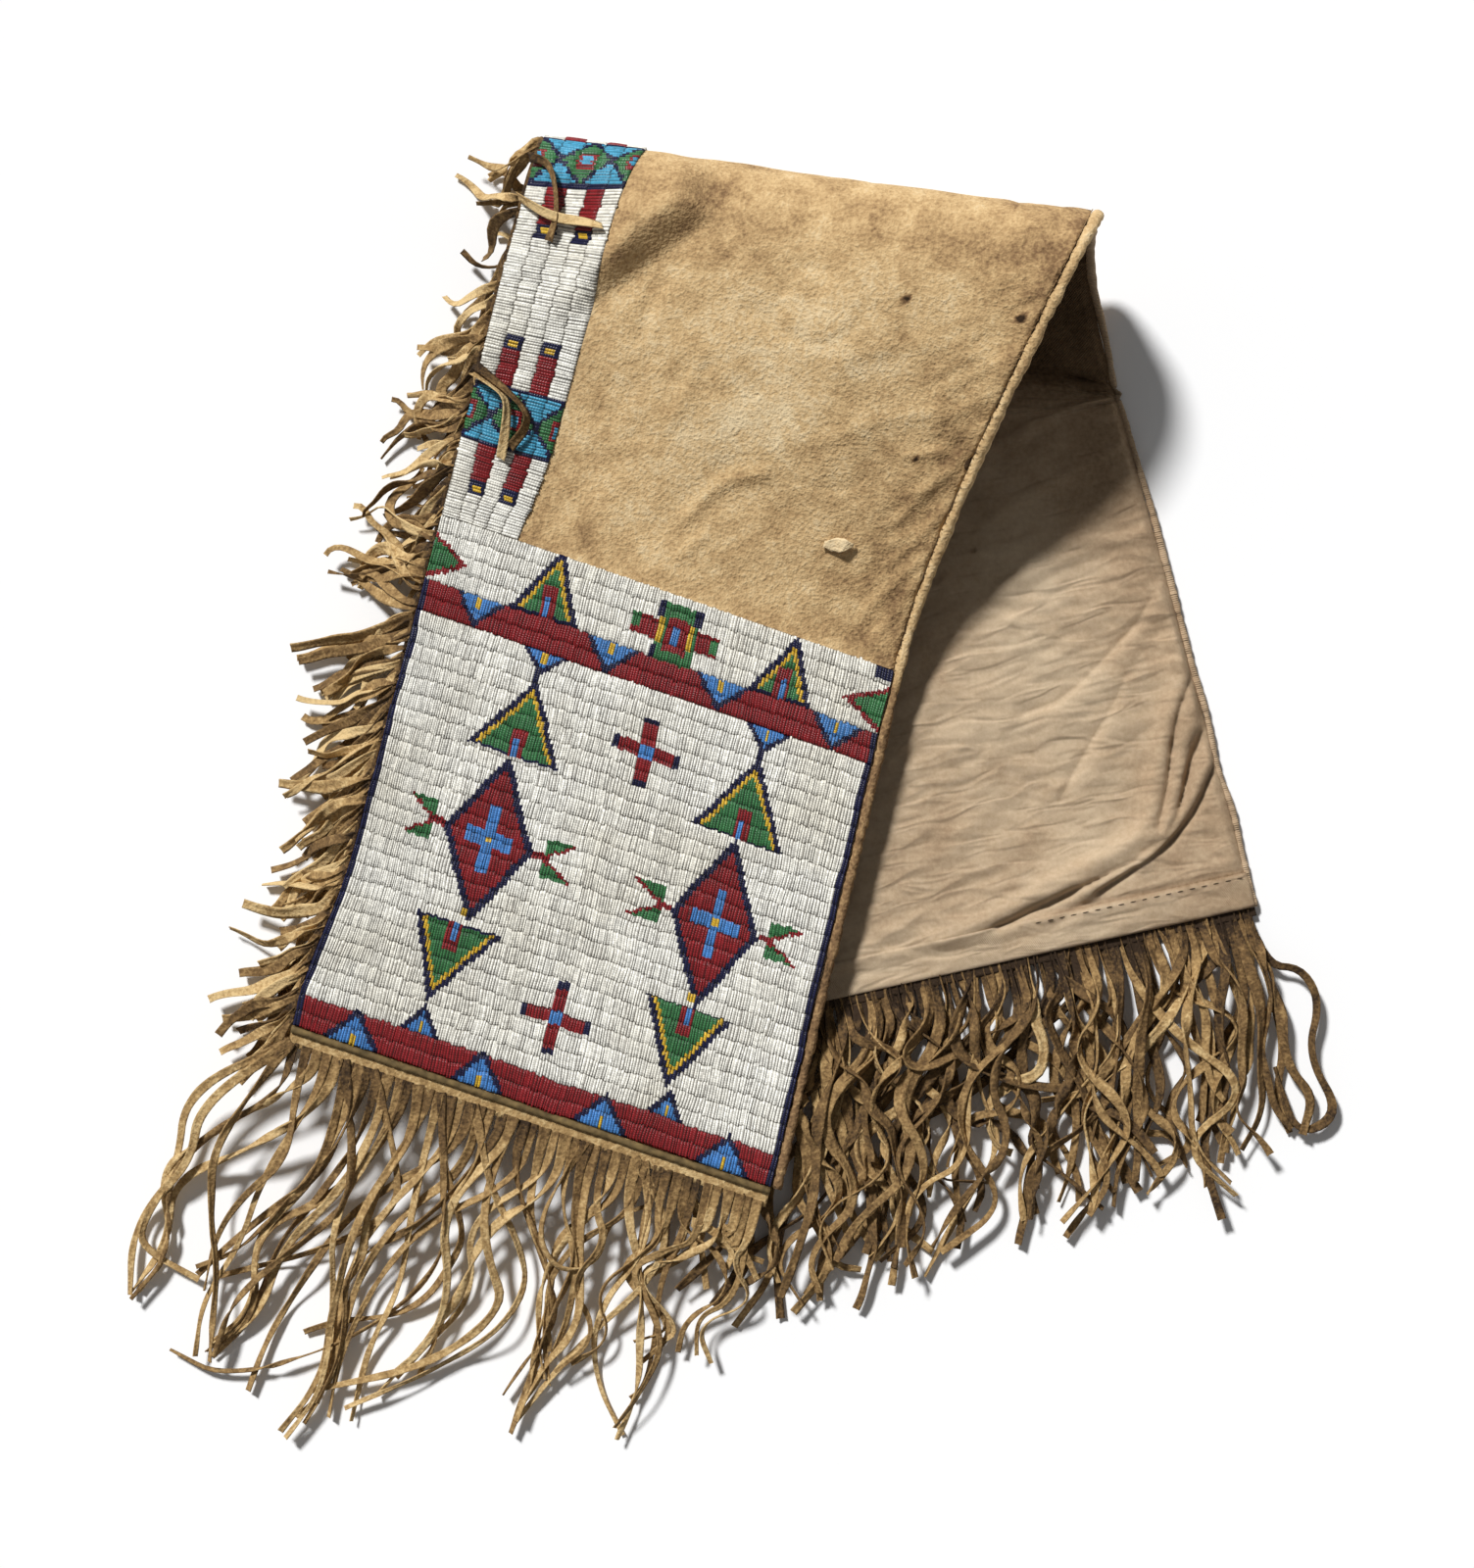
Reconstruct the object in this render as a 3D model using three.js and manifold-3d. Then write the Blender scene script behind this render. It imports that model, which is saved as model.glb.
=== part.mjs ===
import * as THREE from "three";
import { mergeVertices } from "three/addons/utils/BufferGeometryUtils.js";
import Module from "manifold-3d";

const wasm = await Module();
wasm.setup();

// Flat pattern of the bag, in millimetres.
// u runs across it from the fringed edge, v along it from the front hem, w out of the beaded face.
const bagWidth = 330;
const laneHeight = 10.5; // one lane of stitched bead rows
const lowerBandLanes = 2;
const fieldLanes = 25;
const upperBandLanes = 2;
const topLanes = 4;
const laneShoulder = 2.2; // where a lane starts to round off
const laneGroove = 0.7; // height left between two lanes
const stripWidth = 62;
const stripLanes = 5;
const stripShoulder = 2.6;
const hideThickness = 1.6;
const clothThickness = 0.9;
const seamGap = 0.4; // air between the hide and its cloth back
const beadHeight = 1.8;
const stripHeight = 1.4;
const clearance = 0.3; // between pieces that are sewn together
const edgeRowWidth = 2.3;
const slitLength = 300; // hand opening in the cloth, across the fold
const slitWidth = 3;
const hemBandWidth = 19;
const edgeRollRadius = 4;
const rollSides = 7;
const weltWidth = 5;
const weltHeight = 3.4;
const tabLength = 19;
const tabWidth = 9;
const tabAcross = 270;
const tabUp = 408;

// How the bag lies: back half on the floor, front half folded over it.
const backHemTilt = THREE.MathUtils.degToRad(12.4);
const backLean = THREE.MathUtils.degToRad(15.2);
const backRunLeft = 595;
const backRunRight = 458;
const frontLean = THREE.MathUtils.degToRad(15);
const frontRunLeft = 599;
const frontHemTilt = THREE.MathUtils.degToRad(19);
const frontHemLeftZ = 38;
const frontHemRightZ = 26;
const panelRise = 10;
const riseHandle = 110;
const crestLeftZ = 30;
const crestRightZ = 80;
const crownLeft = 62;
const crownRight = 150;
const loopReachLeft = 60;
const loopReachRight = 100;
const rightBow = 28; // the rolled edge is drawn in beside the top of the front panel

// Hide fringe, cut from bands that are caught in the seams.
const fringeThickness = 1.4;
const endBandDepth = 15;
const sideBandDepth = 8;
const endStrands = 32;
const sideStrands = 48;
const endStrandWidth = 4.4;
const sideStrandWidth = 3.4;
const frontStrandLengths = [200, 236, 200, 178, 118]; // at even steps along the hem
const frontStrandLeans = [-14, 3, 8, 11, 13]; // degrees away from square to the hem
const backStrandLengths = [186, 174, 160, 168, 162];
const backStrandLeans = [-3, 0, 4, 5, 10];
const sideStrandLength = 64;
const sideStrandLean = 40;
const foldStrandShare = 0.5; // strands are worn short where the bag folds
const strandRoot = 3; // how far a strand starts inside its band
const frontFall = 120; // run over which a strand sinks to the floor
const backFall = 45;
const sideFall = 52;

// Levels of the layers, counted from the seam between hide and cloth.
const hideIn = seamGap / 2;
const hideOut = hideIn + hideThickness;
const beadIn = hideOut + clearance;
const beadOut = beadIn + beadHeight;
const stripOut = beadIn + stripHeight;
const clothIn = -seamGap / 2;
const clothOut = clothIn - clothThickness;
const floorZ = beadOut; // the back beadwork rests on the floor
const panelLanes = lowerBandLanes + fieldLanes + upperBandLanes + topLanes;
const panelLength = panelLanes * laneHeight;

const toward = (angle) => new THREE.Vector2(-Math.sin(angle), Math.cos(angle));
const along = (angle) => new THREE.Vector2(Math.cos(angle), Math.sin(angle));

// Corners on the floor plan, from the crown of a lane in the middle of the back bead panel.
const restLane = Math.floor(panelLanes / 2) + 0.5;
const backHemMiddle = toward(backHemTilt).multiplyScalar(-restLane * laneHeight);
const backHemLeft = backHemMiddle.clone().addScaledVector(along(backHemTilt), -bagWidth / 2);
const backHemRight = backHemMiddle.clone().addScaledVector(along(backHemTilt), bagWidth / 2);
const crestLeft = backHemLeft.clone().addScaledVector(toward(backLean), backRunLeft);
const crestRight = backHemRight.clone().addScaledVector(toward(backLean), backRunRight);
const frontHemLeft = crestLeft.clone().addScaledVector(toward(-frontLean), -frontRunLeft);
const frontHemRight = frontHemLeft.clone().addScaledVector(along(-frontHemTilt), bagWidth);

const raised = (point, z) => new THREE.Vector3(point.x, point.y, z);

// One long edge of the bag: front panel, rise, loop of the fold, floor, back panel.
function edgeCurves(frontHem, crest, backHem, hemZ, crestZ, crown, reach, bow) {
  const frontAxis = crest.clone().sub(frontHem).normalize();
  const drawnIn = new THREE.Vector2(-frontAxis.y, frontAxis.x);
  const panelTop = frontHem.clone().addScaledVector(frontAxis, panelLength).addScaledVector(drawnIn, bow);
  const backTop = backHem.clone().lerp(crest, panelLength / backHem.distanceTo(crest));
  const touch = crest.clone().lerp(backHem, reach / backHem.distanceTo(crest));
  const bend = raised(panelTop, hemZ + panelRise);
  const slope = bend.clone().sub(raised(frontHem, hemZ)).normalize();
  const lift = bend.clone().addScaledVector(slope, riseHandle);
  const turn = raised(crest, crestZ);
  const fall = raised(crest, THREE.MathUtils.lerp(floorZ, crestZ, 0.35));
  const settle = raised(crest.clone().lerp(touch, 0.45), floorZ);
  return [
    new THREE.LineCurve3(raised(frontHem, hemZ), bend),
    new THREE.CubicBezierCurve3(bend, lift, raised(crest, crestZ + crown), turn),
    new THREE.CubicBezierCurve3(turn, fall, settle, raised(touch, floorZ)),
    new THREE.LineCurve3(raised(touch, floorZ), raised(backTop, floorZ)),
    new THREE.LineCurve3(raised(backTop, floorZ), raised(backHem, floorZ)),
  ];
}

const leftEdge = edgeCurves(
  frontHemLeft, crestLeft, backHemLeft, frontHemLeftZ, crestLeftZ, crownLeft, loopReachLeft, 0,
);
const rightEdge = edgeCurves(
  frontHemRight, crestRight, backHemRight, frontHemRightZ, crestRightZ, crownRight, loopReachRight,
  rightBow,
);
const spans = leftEdge.map((curve, k) => (curve.getLength() + rightEdge[k].getLength()) / 2);
spans[0] = panelLength;
spans[4] = panelLength;
const breaks = [0];
for (const span of spans) breaks.push(breaks.at(-1) + span);
const bagLength = breaks.at(-1);
const crestV = breaks[2];

// A point of the flat pattern laid onto the folded bag.
function onBag(u, v, w) {
  let k = 4;
  while (k > 0 && v < breaks[k]) k -= 1;
  const t = (v - breaks[k]) / spans[k];
  const share = u / bagWidth;
  const left = leftEdge[k].getPointAt(t);
  const right = rightEdge[k].getPointAt(t);
  const across = right.clone().sub(left);
  const leftRun = leftEdge[k].getTangentAt(t).multiplyScalar(leftEdge[k].getLength());
  const rightRun = rightEdge[k].getTangentAt(t).multiplyScalar(rightEdge[k].getLength());
  const normal = across.clone().cross(leftRun.lerp(rightRun, share)).normalize();
  return left.addScaledVector(across, share).addScaledVector(normal, w);
}

// Stops along the bag that every sewn layer shares.
const rowsIn = (from, to, count) =>
  Array.from({ length: count }, (_, i) => THREE.MathUtils.lerp(from, to, i / count));
const vStops = [
  ...rowsIn(breaks[0], breaks[1], 2),
  ...rowsIn(breaks[1], breaks[2], 12),
  ...rowsIn(breaks[2], breaks[3], 8),
  ...rowsIn(breaks[3], breaks[4], 2),
  ...rowsIn(breaks[4], breaks[5], 2),
  bagLength,
];
const inside = (from, to) => [from, ...vStops.filter((v) => v > from && v < to), to];

const asGeometry = (points, faces) => {
  const flat = new Float32Array(points.flatMap((p) => [p.x, p.y, p.z]));
  return new THREE.BufferGeometry()
    .setAttribute("position", new THREE.BufferAttribute(flat, 3))
    .setIndex(faces.flat());
};

// Closed skin over rings of equal count, capped at both ends.
function loft(rings, contour) {
  const count = contour.length;
  const faces = [];
  rings.slice(1).forEach((_, row) => {
    for (let i = 0; i < count; i += 1) {
      const a = row * count + i;
      const b = row * count + ((i + 1) % count);
      const returning = contour[b % count].x < contour[i].x; // both faces of a sheet keep one diagonal
      if (returning) faces.push([a, b, a + count], [b, b + count, a + count]);
      else faces.push([a, b, b + count], [a, b + count, a + count]);
    }
  });
  const last = (rings.length - 1) * count;
  for (const [a, b, c] of THREE.ShapeUtils.triangulateShape(contour, [])) {
    faces.push([a, c, b], [a + last, b + last, c + last]);
  }
  return asGeometry(rings.flat(), faces);
}

const section = (pairs) => pairs.map(([x, y]) => new THREE.Vector2(x, y));

// A section in (u, w) drawn along the bag through the stops in v.
const drawnAlong = (contour, stops) =>
  loft(stops.toReversed().map((v) => contour.map((p) => onBag(p.x, v, p.y))), contour);

// A sheet's section keeps the same stops on both faces.
const sheetSection = (low, high, stops) =>
  section([...stops.map((u) => [u, low]), ...stops.toReversed().map((u) => [u, high])]);

function asSolid(geometry) {
  const merged = mergeVertices(geometry, 1e-4);
  const mesh = new wasm.Mesh({
    numProp: 3,
    vertProperties: merged.attributes.position.array,
    triVerts: new Uint32Array(merged.index.array),
  });
  return new wasm.Manifold(mesh);
}

function fromSolid(solid) {
  const mesh = solid.getMesh();
  return new THREE.BufferGeometry()
    .setAttribute("position", new THREE.BufferAttribute(mesh.vertProperties.slice(), 3))
    .setIndex(new THREE.BufferAttribute(mesh.triVerts.slice(), 1));
}

const bare = (geometry) => {
  const plain = geometry.index ? geometry.toNonIndexed() : geometry;
  return new THREE.BufferGeometry().setAttribute("position", plain.attributes.position);
};

// Lays a flat geometry (x = u, y = v, z = w) onto the bag, with v from the hem of either half.
function laidOn(geometry, back) {
  const position = geometry.attributes.position;
  for (let i = 0; i < position.count; i += 1) {
    const v = back ? bagLength - position.getY(i) : position.getY(i);
    const u = back ? bagWidth - position.getX(i) : position.getX(i);
    const p = onBag(u, v, position.getZ(i));
    position.setXYZ(i, p.x, p.y, p.z);
  }
  return geometry;
}

// Colours and finishes.
const finish = (colour, roughness) =>
  new THREE.MeshStandardMaterial({ color: colour, roughness, metalness: 0 });
const tannedHide = finish(0xc7a873, 0.85);
const oldHide = finish(0xa5865a, 0.88);
const darkHide = finish(0x6e5b3a, 0.85);
const cottonCloth = finish(0xb89b7b, 0.95);
const whiteBeads = finish(0xe8e6dc, 0.3);
const redBeads = finish(0x8e2a33, 0.3);
const navyBeads = finish(0x1e2140, 0.3);
const greenBeads = finish(0x2f7d4f, 0.3);

const bag = new THREE.Group();
function add(name, geometry, material) {
  const mesh = new THREE.Mesh(geometry, material);
  mesh.name = name;
  bag.add(mesh);
}

// Hide face and cloth back.
const sheetStops = [0, stripWidth, (bagWidth - slitWidth) / 2, (bagWidth + slitWidth) / 2, bagWidth];
add("hide_panel", drawnAlong(sheetSection(hideIn, hideOut, sheetStops), vStops), tannedHide);

const slitSection = sheetSection(clothOut - clearance, clothIn + seamGap / 2, [
  (bagWidth - slitWidth) / 2,
  (bagWidth + slitWidth) / 2,
]);
const slitStops = inside(crestV - slitLength / 2, crestV + slitLength / 2);
const clothSheet = asSolid(drawnAlong(sheetSection(clothOut, clothIn, sheetStops), vStops));
const slit = asSolid(drawnAlong(slitSection, slitStops));
add("cloth_back", fromSolid(clothSheet.subtract(slit)), cottonCloth);

// Lanes of bead rows across a panel: a ribbed section drawn from edge to edge.
function laneField(firstLane, lanes, fromU, toU) {
  const bottom = firstLane * laneHeight;
  const top = bottom + lanes * laneHeight - clearance;
  const outline = [[bottom, beadIn]];
  for (let lane = 0; lane < lanes; lane += 1) {
    const low = bottom + lane * laneHeight;
    const high = Math.min(low + laneHeight, top);
    outline.push([low, beadIn + laneGroove]);
    outline.push([low + laneShoulder, beadOut], [high - laneShoulder, beadOut]);
  }
  outline.push([top, beadIn + laneGroove], [top, beadIn]);
  const shape = new THREE.Shape(section(outline));
  const lanesSolid = new THREE.ExtrudeGeometry(shape, { depth: toU - fromU, bevelEnabled: false });
  const turned = new THREE.Matrix4().makeBasis(
    new THREE.Vector3(0, 1, 0),
    new THREE.Vector3(0, 0, 1),
    new THREE.Vector3(1, 0, 0),
  );
  return bare(lanesSolid).applyMatrix4(turned).translate(fromU, 0, 0);
}

// Motifs worked into the white field, [across, up] outlines about their own middles.
const tipi = (width, height) => [[-width / 2, 0], [width / 2, 0], [0, height]];
const diamond = (width, height) => [[-width / 2, 0], [0, -height / 2], [width / 2, 0], [0, height / 2]];
const cross = (width, height, bar) => [
  [-width / 2, -bar / 2], [-bar / 2, -bar / 2], [-bar / 2, -height / 2], [bar / 2, -height / 2],
  [bar / 2, -bar / 2], [width / 2, -bar / 2], [width / 2, bar / 2], [bar / 2, bar / 2],
  [bar / 2, height / 2], [-bar / 2, height / 2], [-bar / 2, bar / 2], [-width / 2, bar / 2],
];
const motifs = [
  ["upper_left_tipi", 96, 213, tipi(63, 49), greenBeads],
  ["upper_right_tipi", 254, 210, tipi(63, 49), greenBeads],
  ["left_diamond", 94, 156, diamond(61, 106), redBeads],
  ["right_diamond", 254, 153, diamond(61, 106), redBeads],
  ["lower_left_tipi", 88, 96, tipi(58, -53), greenBeads],
  ["lower_right_tipi", 250, 94, tipi(59, -53), greenBeads],
  ["upper_cross", 181, 243, cross(42, 49, 9.5), redBeads],
  ["lower_cross", 167, 59, cross(48, 48, 9.5), redBeads],
];

// An upright cutter through the beadwork, grown outward by a margin.
function motifCutter(outline, across, up, margin) {
  const points = section(outline);
  if (THREE.ShapeUtils.isClockWise(points)) points.reverse();
  const grown = points.map((p, i) => {
    const before = points.at(i - 1);
    const after = points[(i + 1) % points.length];
    const inward = p.clone().sub(before).normalize();
    const outward = after.clone().sub(p).normalize();
    const turn = inward.cross(outward);
    const sides = inward.clone().sub(outward);
    return p.clone().addScaledVector(sides, Math.abs(turn) < 1e-6 ? 0 : margin / turn);
  });
  const shape = new THREE.Shape(grown);
  const depth = beadHeight + 2 * clearance;
  const prism = new THREE.ExtrudeGeometry(shape, { depth, bevelEnabled: false });
  return asSolid(bare(prism).translate(across, up, beadIn - clearance));
}

function beadPanel(half, back, worked) {
  const bandEdge = edgeRowWidth + clearance;
  const upperBand = lowerBandLanes + fieldLanes;
  const topField = upperBand + upperBandLanes;
  const lay = (name, geometry, material) => add(`${half}_${name}`, laidOn(geometry, back), material);
  const ground = laneField(lowerBandLanes, fieldLanes, bandEdge, bagWidth - bandEdge);
  let field = asSolid(ground);
  for (const [name, across, up, outline, beads] of worked) {
    const piece = asSolid(ground).intersect(motifCutter(outline, across, up, 0));
    field = field.subtract(motifCutter(outline, across, up, clearance));
    lay(name, fromSolid(piece), beads);
  }
  lay("white_field", fromSolid(field), whiteBeads);
  lay("lower_red_band", laneField(0, lowerBandLanes, bandEdge, bagWidth - bandEdge), redBeads);
  lay("upper_red_band", laneField(upperBand, upperBandLanes, bandEdge, bagWidth - bandEdge), redBeads);
  lay("top_white_field", laneField(topField, topLanes, 0, bagWidth), whiteBeads);
  const rowLength = topField * laneHeight - clearance;
  for (const [side, from] of [["left", 0], ["right", bagWidth - edgeRowWidth]]) {
    const row = new THREE.BoxGeometry(edgeRowWidth, rowLength, stripHeight);
    row.translate(from + edgeRowWidth / 2, rowLength / 2, beadIn + stripHeight / 2);
    lay(`${side}_navy_row`, bare(row), navyBeads);
  }
}
beadPanel("front", false, motifs);
beadPanel("back", true, motifs.filter(([name]) => name.endsWith("diamond")));

// Lengthwise lanes of the side strip, from panel to panel over the fold.
const stripLane = stripWidth / stripLanes;
const stripOutline = [[0, beadIn], [stripWidth, beadIn], [stripWidth, beadIn + laneGroove]];
for (let lane = stripLanes - 1; lane >= 0; lane -= 1) {
  const low = lane * stripLane;
  stripOutline.push([low + stripLane - stripShoulder, stripOut], [low + stripShoulder, stripOut]);
  stripOutline.push([low, beadIn + laneGroove]);
}
const stripStops = inside(breaks[1] + clearance, breaks[4] - clearance);
add("side_bead_strip", drawnAlong(section(stripOutline), stripStops), whiteBeads);

// Rolled edge down the long side without fringe.
const rollCentre = bagWidth + edgeRollRadius + clearance;
const rollSection = new THREE.EllipseCurve(rollCentre, 0, edgeRollRadius, floorZ - clearance)
  .getPoints(rollSides)
  .slice(0, rollSides);
add("edge_roll", drawnAlong(rollSection, vStops), cottonCloth);

// Turned hems of the cloth and the dark welts over the roots of the end fringe.
const hemTop = clothOut - clearance;
const hemSection = sheetSection(hemTop - clothThickness, hemTop, [clearance, bagWidth - clearance]);
add("front_hem_band", drawnAlong(hemSection, [clearance, hemBandWidth]), cottonCloth);
const backHemStops = [bagLength - hemBandWidth, bagLength - clearance];
add("back_hem_band", drawnAlong(hemSection, backHemStops), cottonCloth);

function endWelt(back) {
  const seat = fringeThickness / 2 + clearance;
  const height = back ? floorZ - clearance - seat : weltHeight;
  const arch = new THREE.Shape();
  arch.moveTo(-clearance, seat);
  arch.bezierCurveTo(-clearance, seat + height * 1.33, -weltWidth, seat + height * 1.33, -weltWidth, seat);
  const welt = new THREE.ExtrudeGeometry(arch, { depth: bagWidth, bevelEnabled: false, curveSegments: 7 });
  const turned = new THREE.Matrix4().makeBasis(
    new THREE.Vector3(0, 1, 0),
    new THREE.Vector3(0, 0, 1),
    new THREE.Vector3(1, 0, 0),
  );
  return laidOn(bare(welt).applyMatrix4(turned), back);
}
add("front_end_welt", endWelt(false), darkHide);
add("back_end_welt", endWelt(true), darkHide);

// Tie tab on the bare hide.
const tabSection = sheetSection(beadIn, beadIn + hideThickness, [
  tabAcross - tabLength / 2,
  tabAcross + tabLength / 2,
]);
add("thong_tab", drawnAlong(tabSection, [tabUp - tabWidth / 2, tabUp + tabWidth / 2]), oldHide);

const strandRest = fringeThickness / 2 + clearance;

// One strand: a flat thong that leaves its band, sinks to the floor and waves as it goes.
function strand(root, heading, shape) {
  const side = new THREE.Vector3(-heading.y, heading.x, 0);
  const centres = Array.from({ length: shape.steps + 1 }, (_, i) => {
    const t = i / shape.steps;
    const run = t * shape.length;
    const bow = shape.wave * Math.sin(shape.phase + t * shape.turns) - shape.wave * Math.sin(shape.phase);
    const sunk = THREE.MathUtils.smoothstep(run, 0, shape.fall);
    const point = root.clone().addScaledVector(heading, run).addScaledVector(side, bow * t);
    point.z = THREE.MathUtils.lerp(root.z, strandRest + shape.lift * Math.sin(t * Math.PI) ** 2, sunk);
    return point;
  });
  const curve = new THREE.CatmullRomCurve3(centres);
  const rings = centres.map((centre, i) => {
    const t = i / shape.steps;
    const tangent = curve.getTangent(t);
    const across = new THREE.Vector3(-tangent.y, tangent.x, 0).normalize();
    const up = tangent.clone().cross(across).normalize();
    const half = (shape.width / 2) * (1 - 0.45 * t);
    return [[-1, -1], [1, -1], [1, 1], [-1, 1]].map(([a, b]) =>
      centre.clone().addScaledVector(across, a * half).addScaledVector(up, (b * fringeThickness) / 2));
  });
  return asSolid(loft(rings, section([[-1, -1], [1, -1], [1, 1], [-1, 1]])));
}

const degrees = THREE.MathUtils.degToRad;
const turnedBy = (vector, angle) => vector.clone().applyAxisAngle(new THREE.Vector3(0, 0, 1), angle);
const sway = (i, rate) => Math.sin(i * rate) * 0.6 + Math.sin(i * rate * 2.7 + 1.3) * 0.4;

// A value read between those given at even steps.
function between(values, share) {
  const place = share * (values.length - 1);
  const step = Math.min(Math.floor(place), values.length - 2);
  return THREE.MathUtils.lerp(values[step], values[step + 1], place - step);
}

function endFringe(back, lengths, leans) {
  const hemV = back ? bagLength : 0;
  const out = back ? 1 : -1;
  const bandSection = sheetSection(-fringeThickness / 2, fringeThickness / 2, [
    clearance,
    bagWidth - clearance,
  ]);
  const bandStops = [hemV + out * clearance, hemV + out * endBandDepth].sort((a, b) => a - b);
  const solids = [asSolid(drawnAlong(bandSection, bandStops))];
  const pitch = (bagWidth - 2 * clearance - endStrandWidth) / (endStrands - 1);
  for (let i = 0; i < endStrands; i += 1) {
    const u = clearance + endStrandWidth / 2 + i * pitch;
    const root = onBag(u, hemV + out * (endBandDepth - strandRoot), 0);
    const level = onBag(u, hemV, 0);
    const heading = root.clone().sub(level).setZ(0).normalize();
    const share = i / (endStrands - 1);
    solids.push(
      strand(root, turnedBy(heading, degrees(between(leans, share) + 1.4 * sway(i, 1.1))), {
        length: between(lengths, share) * (1 + 0.08 * sway(i, 0.83)),
        width: endStrandWidth,
        steps: 4,
        wave: 8,
        phase: 0.45 * i,
        turns: 4.2 + 0.4 * sway(i, 0.4),
        fall: back ? backFall : frontFall,
        lift: 5 + 4 * sway(i, 0.7),
      }),
    );
  }
  return fromSolid(wasm.Manifold.union(solids));
}

add("front_end_fringe", endFringe(false, frontStrandLengths, frontStrandLeans), oldHide);
add("back_end_fringe", endFringe(true, backStrandLengths, backStrandLeans), oldHide);

// Side fringe: one long band down the other edge, over the fold and back.
function sideFringe() {
  const bandSection = sheetSection(-fringeThickness / 2, fringeThickness / 2, [
    -sideBandDepth,
    -clearance,
  ]);
  const solids = [asSolid(drawnAlong(bandSection, vStops))];
  const pitch = (bagLength - sideStrandWidth) / (sideStrands - 1);
  for (let i = 0; i < sideStrands; i += 1) {
    const v = sideStrandWidth / 2 + i * pitch;
    const root = onBag(strandRoot - sideBandDepth, v, 0);
    const heading = root.clone().sub(onBag(0, v, 0)).setZ(0).normalize();
    const nearFold = 1 - THREE.MathUtils.smoothstep(Math.abs(v - crestV), 40, 110);
    solids.push(
      strand(root, turnedBy(heading, degrees(sideStrandLean + 8 * sway(i, 1.7))), {
        length: sideStrandLength * (1 - foldStrandShare * nearFold) * (1 + 0.2 * sway(i, 0.9)),
        width: sideStrandWidth,
        steps: 3,
        wave: 5,
        phase: 0.5 * i,
        turns: 3,
        fall: sideFall,
        lift: 3 + 2 * sway(i, 0.6),
      }),
    );
  }
  return fromSolid(wasm.Manifold.union(solids));
}
add("side_fringe", sideFringe(), oldHide);

export default bag;
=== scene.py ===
import math

import bmesh
import bpy
import numpy as np
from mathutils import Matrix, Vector


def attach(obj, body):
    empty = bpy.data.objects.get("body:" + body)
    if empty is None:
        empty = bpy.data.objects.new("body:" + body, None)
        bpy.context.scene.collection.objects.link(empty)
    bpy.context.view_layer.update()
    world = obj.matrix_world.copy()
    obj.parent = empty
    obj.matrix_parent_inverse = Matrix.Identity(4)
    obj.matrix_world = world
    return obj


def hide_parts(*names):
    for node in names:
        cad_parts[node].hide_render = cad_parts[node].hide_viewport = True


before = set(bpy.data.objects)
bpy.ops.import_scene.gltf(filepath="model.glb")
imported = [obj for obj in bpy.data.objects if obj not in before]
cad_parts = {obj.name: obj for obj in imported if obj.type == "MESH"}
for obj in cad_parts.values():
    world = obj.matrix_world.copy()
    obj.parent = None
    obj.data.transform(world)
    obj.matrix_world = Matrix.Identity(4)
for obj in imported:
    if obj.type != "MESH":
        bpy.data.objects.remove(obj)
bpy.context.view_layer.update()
scene = bpy.context.scene
mm = 0.001

# Lie of the bag on the floor, in mm and degrees; pairs are the fringed edge and the open edge.
bag = {
    "width": 330.0,
    "laneHeight": 10.5,
    "panelLanes": 33,
    "restLane": 16.5,
    "floorZ": 3.9,
    "panelRise": 10.0,
    "riseHandle": 110.0,
    "backHemTilt": 12.4,
    "backLean": 15.2,
    "backRun": (595.0, 458.0),
    "frontHemTilt": -19.0,
    "frontLean": -15.0,
    "frontRun": 599.0,
    "hemZ": (38.0, 26.0),
    "crestZ": (30.0, 80.0),
    "crown": (62.0, 150.0),
    "loopReach": (60.0, 100.0),
    "bow": (0.0, 28.0),
    "loopEase": (0.35, 0.45),
    "drawIn": 9.5,
}
# Heights of the sewn layers out from the middle of the wall.
layer = {
    "hideIn": 0.2,
    "hideOut": 1.8,
    "beadIn": 2.0,
    "beadOut": 3.9,
    "stripOut": 3.6,
    "clothIn": -0.2,
    "clothOut": -1.1,
    "hemIn": -1.3,
}
panelLength = bag["panelLanes"] * bag["laneHeight"]


def toward(degrees):
    angle = math.radians(degrees)
    return np.array([-math.sin(angle), math.cos(angle)])


def along(degrees):
    angle = math.radians(degrees)
    return np.array([math.cos(angle), math.sin(angle)])


def raised(point, z):
    return np.array([point[0], point[1], z])


def smooth(low, high, x):
    share = np.clip((np.asarray(x, float) - low) / (high - low), 0, 1)
    return share * share * (3 - 2 * share)


def bend(a, b, c, d):
    t = np.linspace(0, 1, 400)[:, None]
    return (1 - t) ** 3 * a + 3 * (1 - t) ** 2 * t * b + 3 * (1 - t) * t * t * c + t**3 * d


def evenly(points, count):
    run = np.concatenate([[0], np.cumsum(np.linalg.norm(np.diff(points, axis=0), axis=1))])
    stops = np.linspace(0, run[-1], count)
    return np.stack([np.interp(stops, run, points[:, k]) for k in range(points.shape[1])], 1), run[-1]


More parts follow.
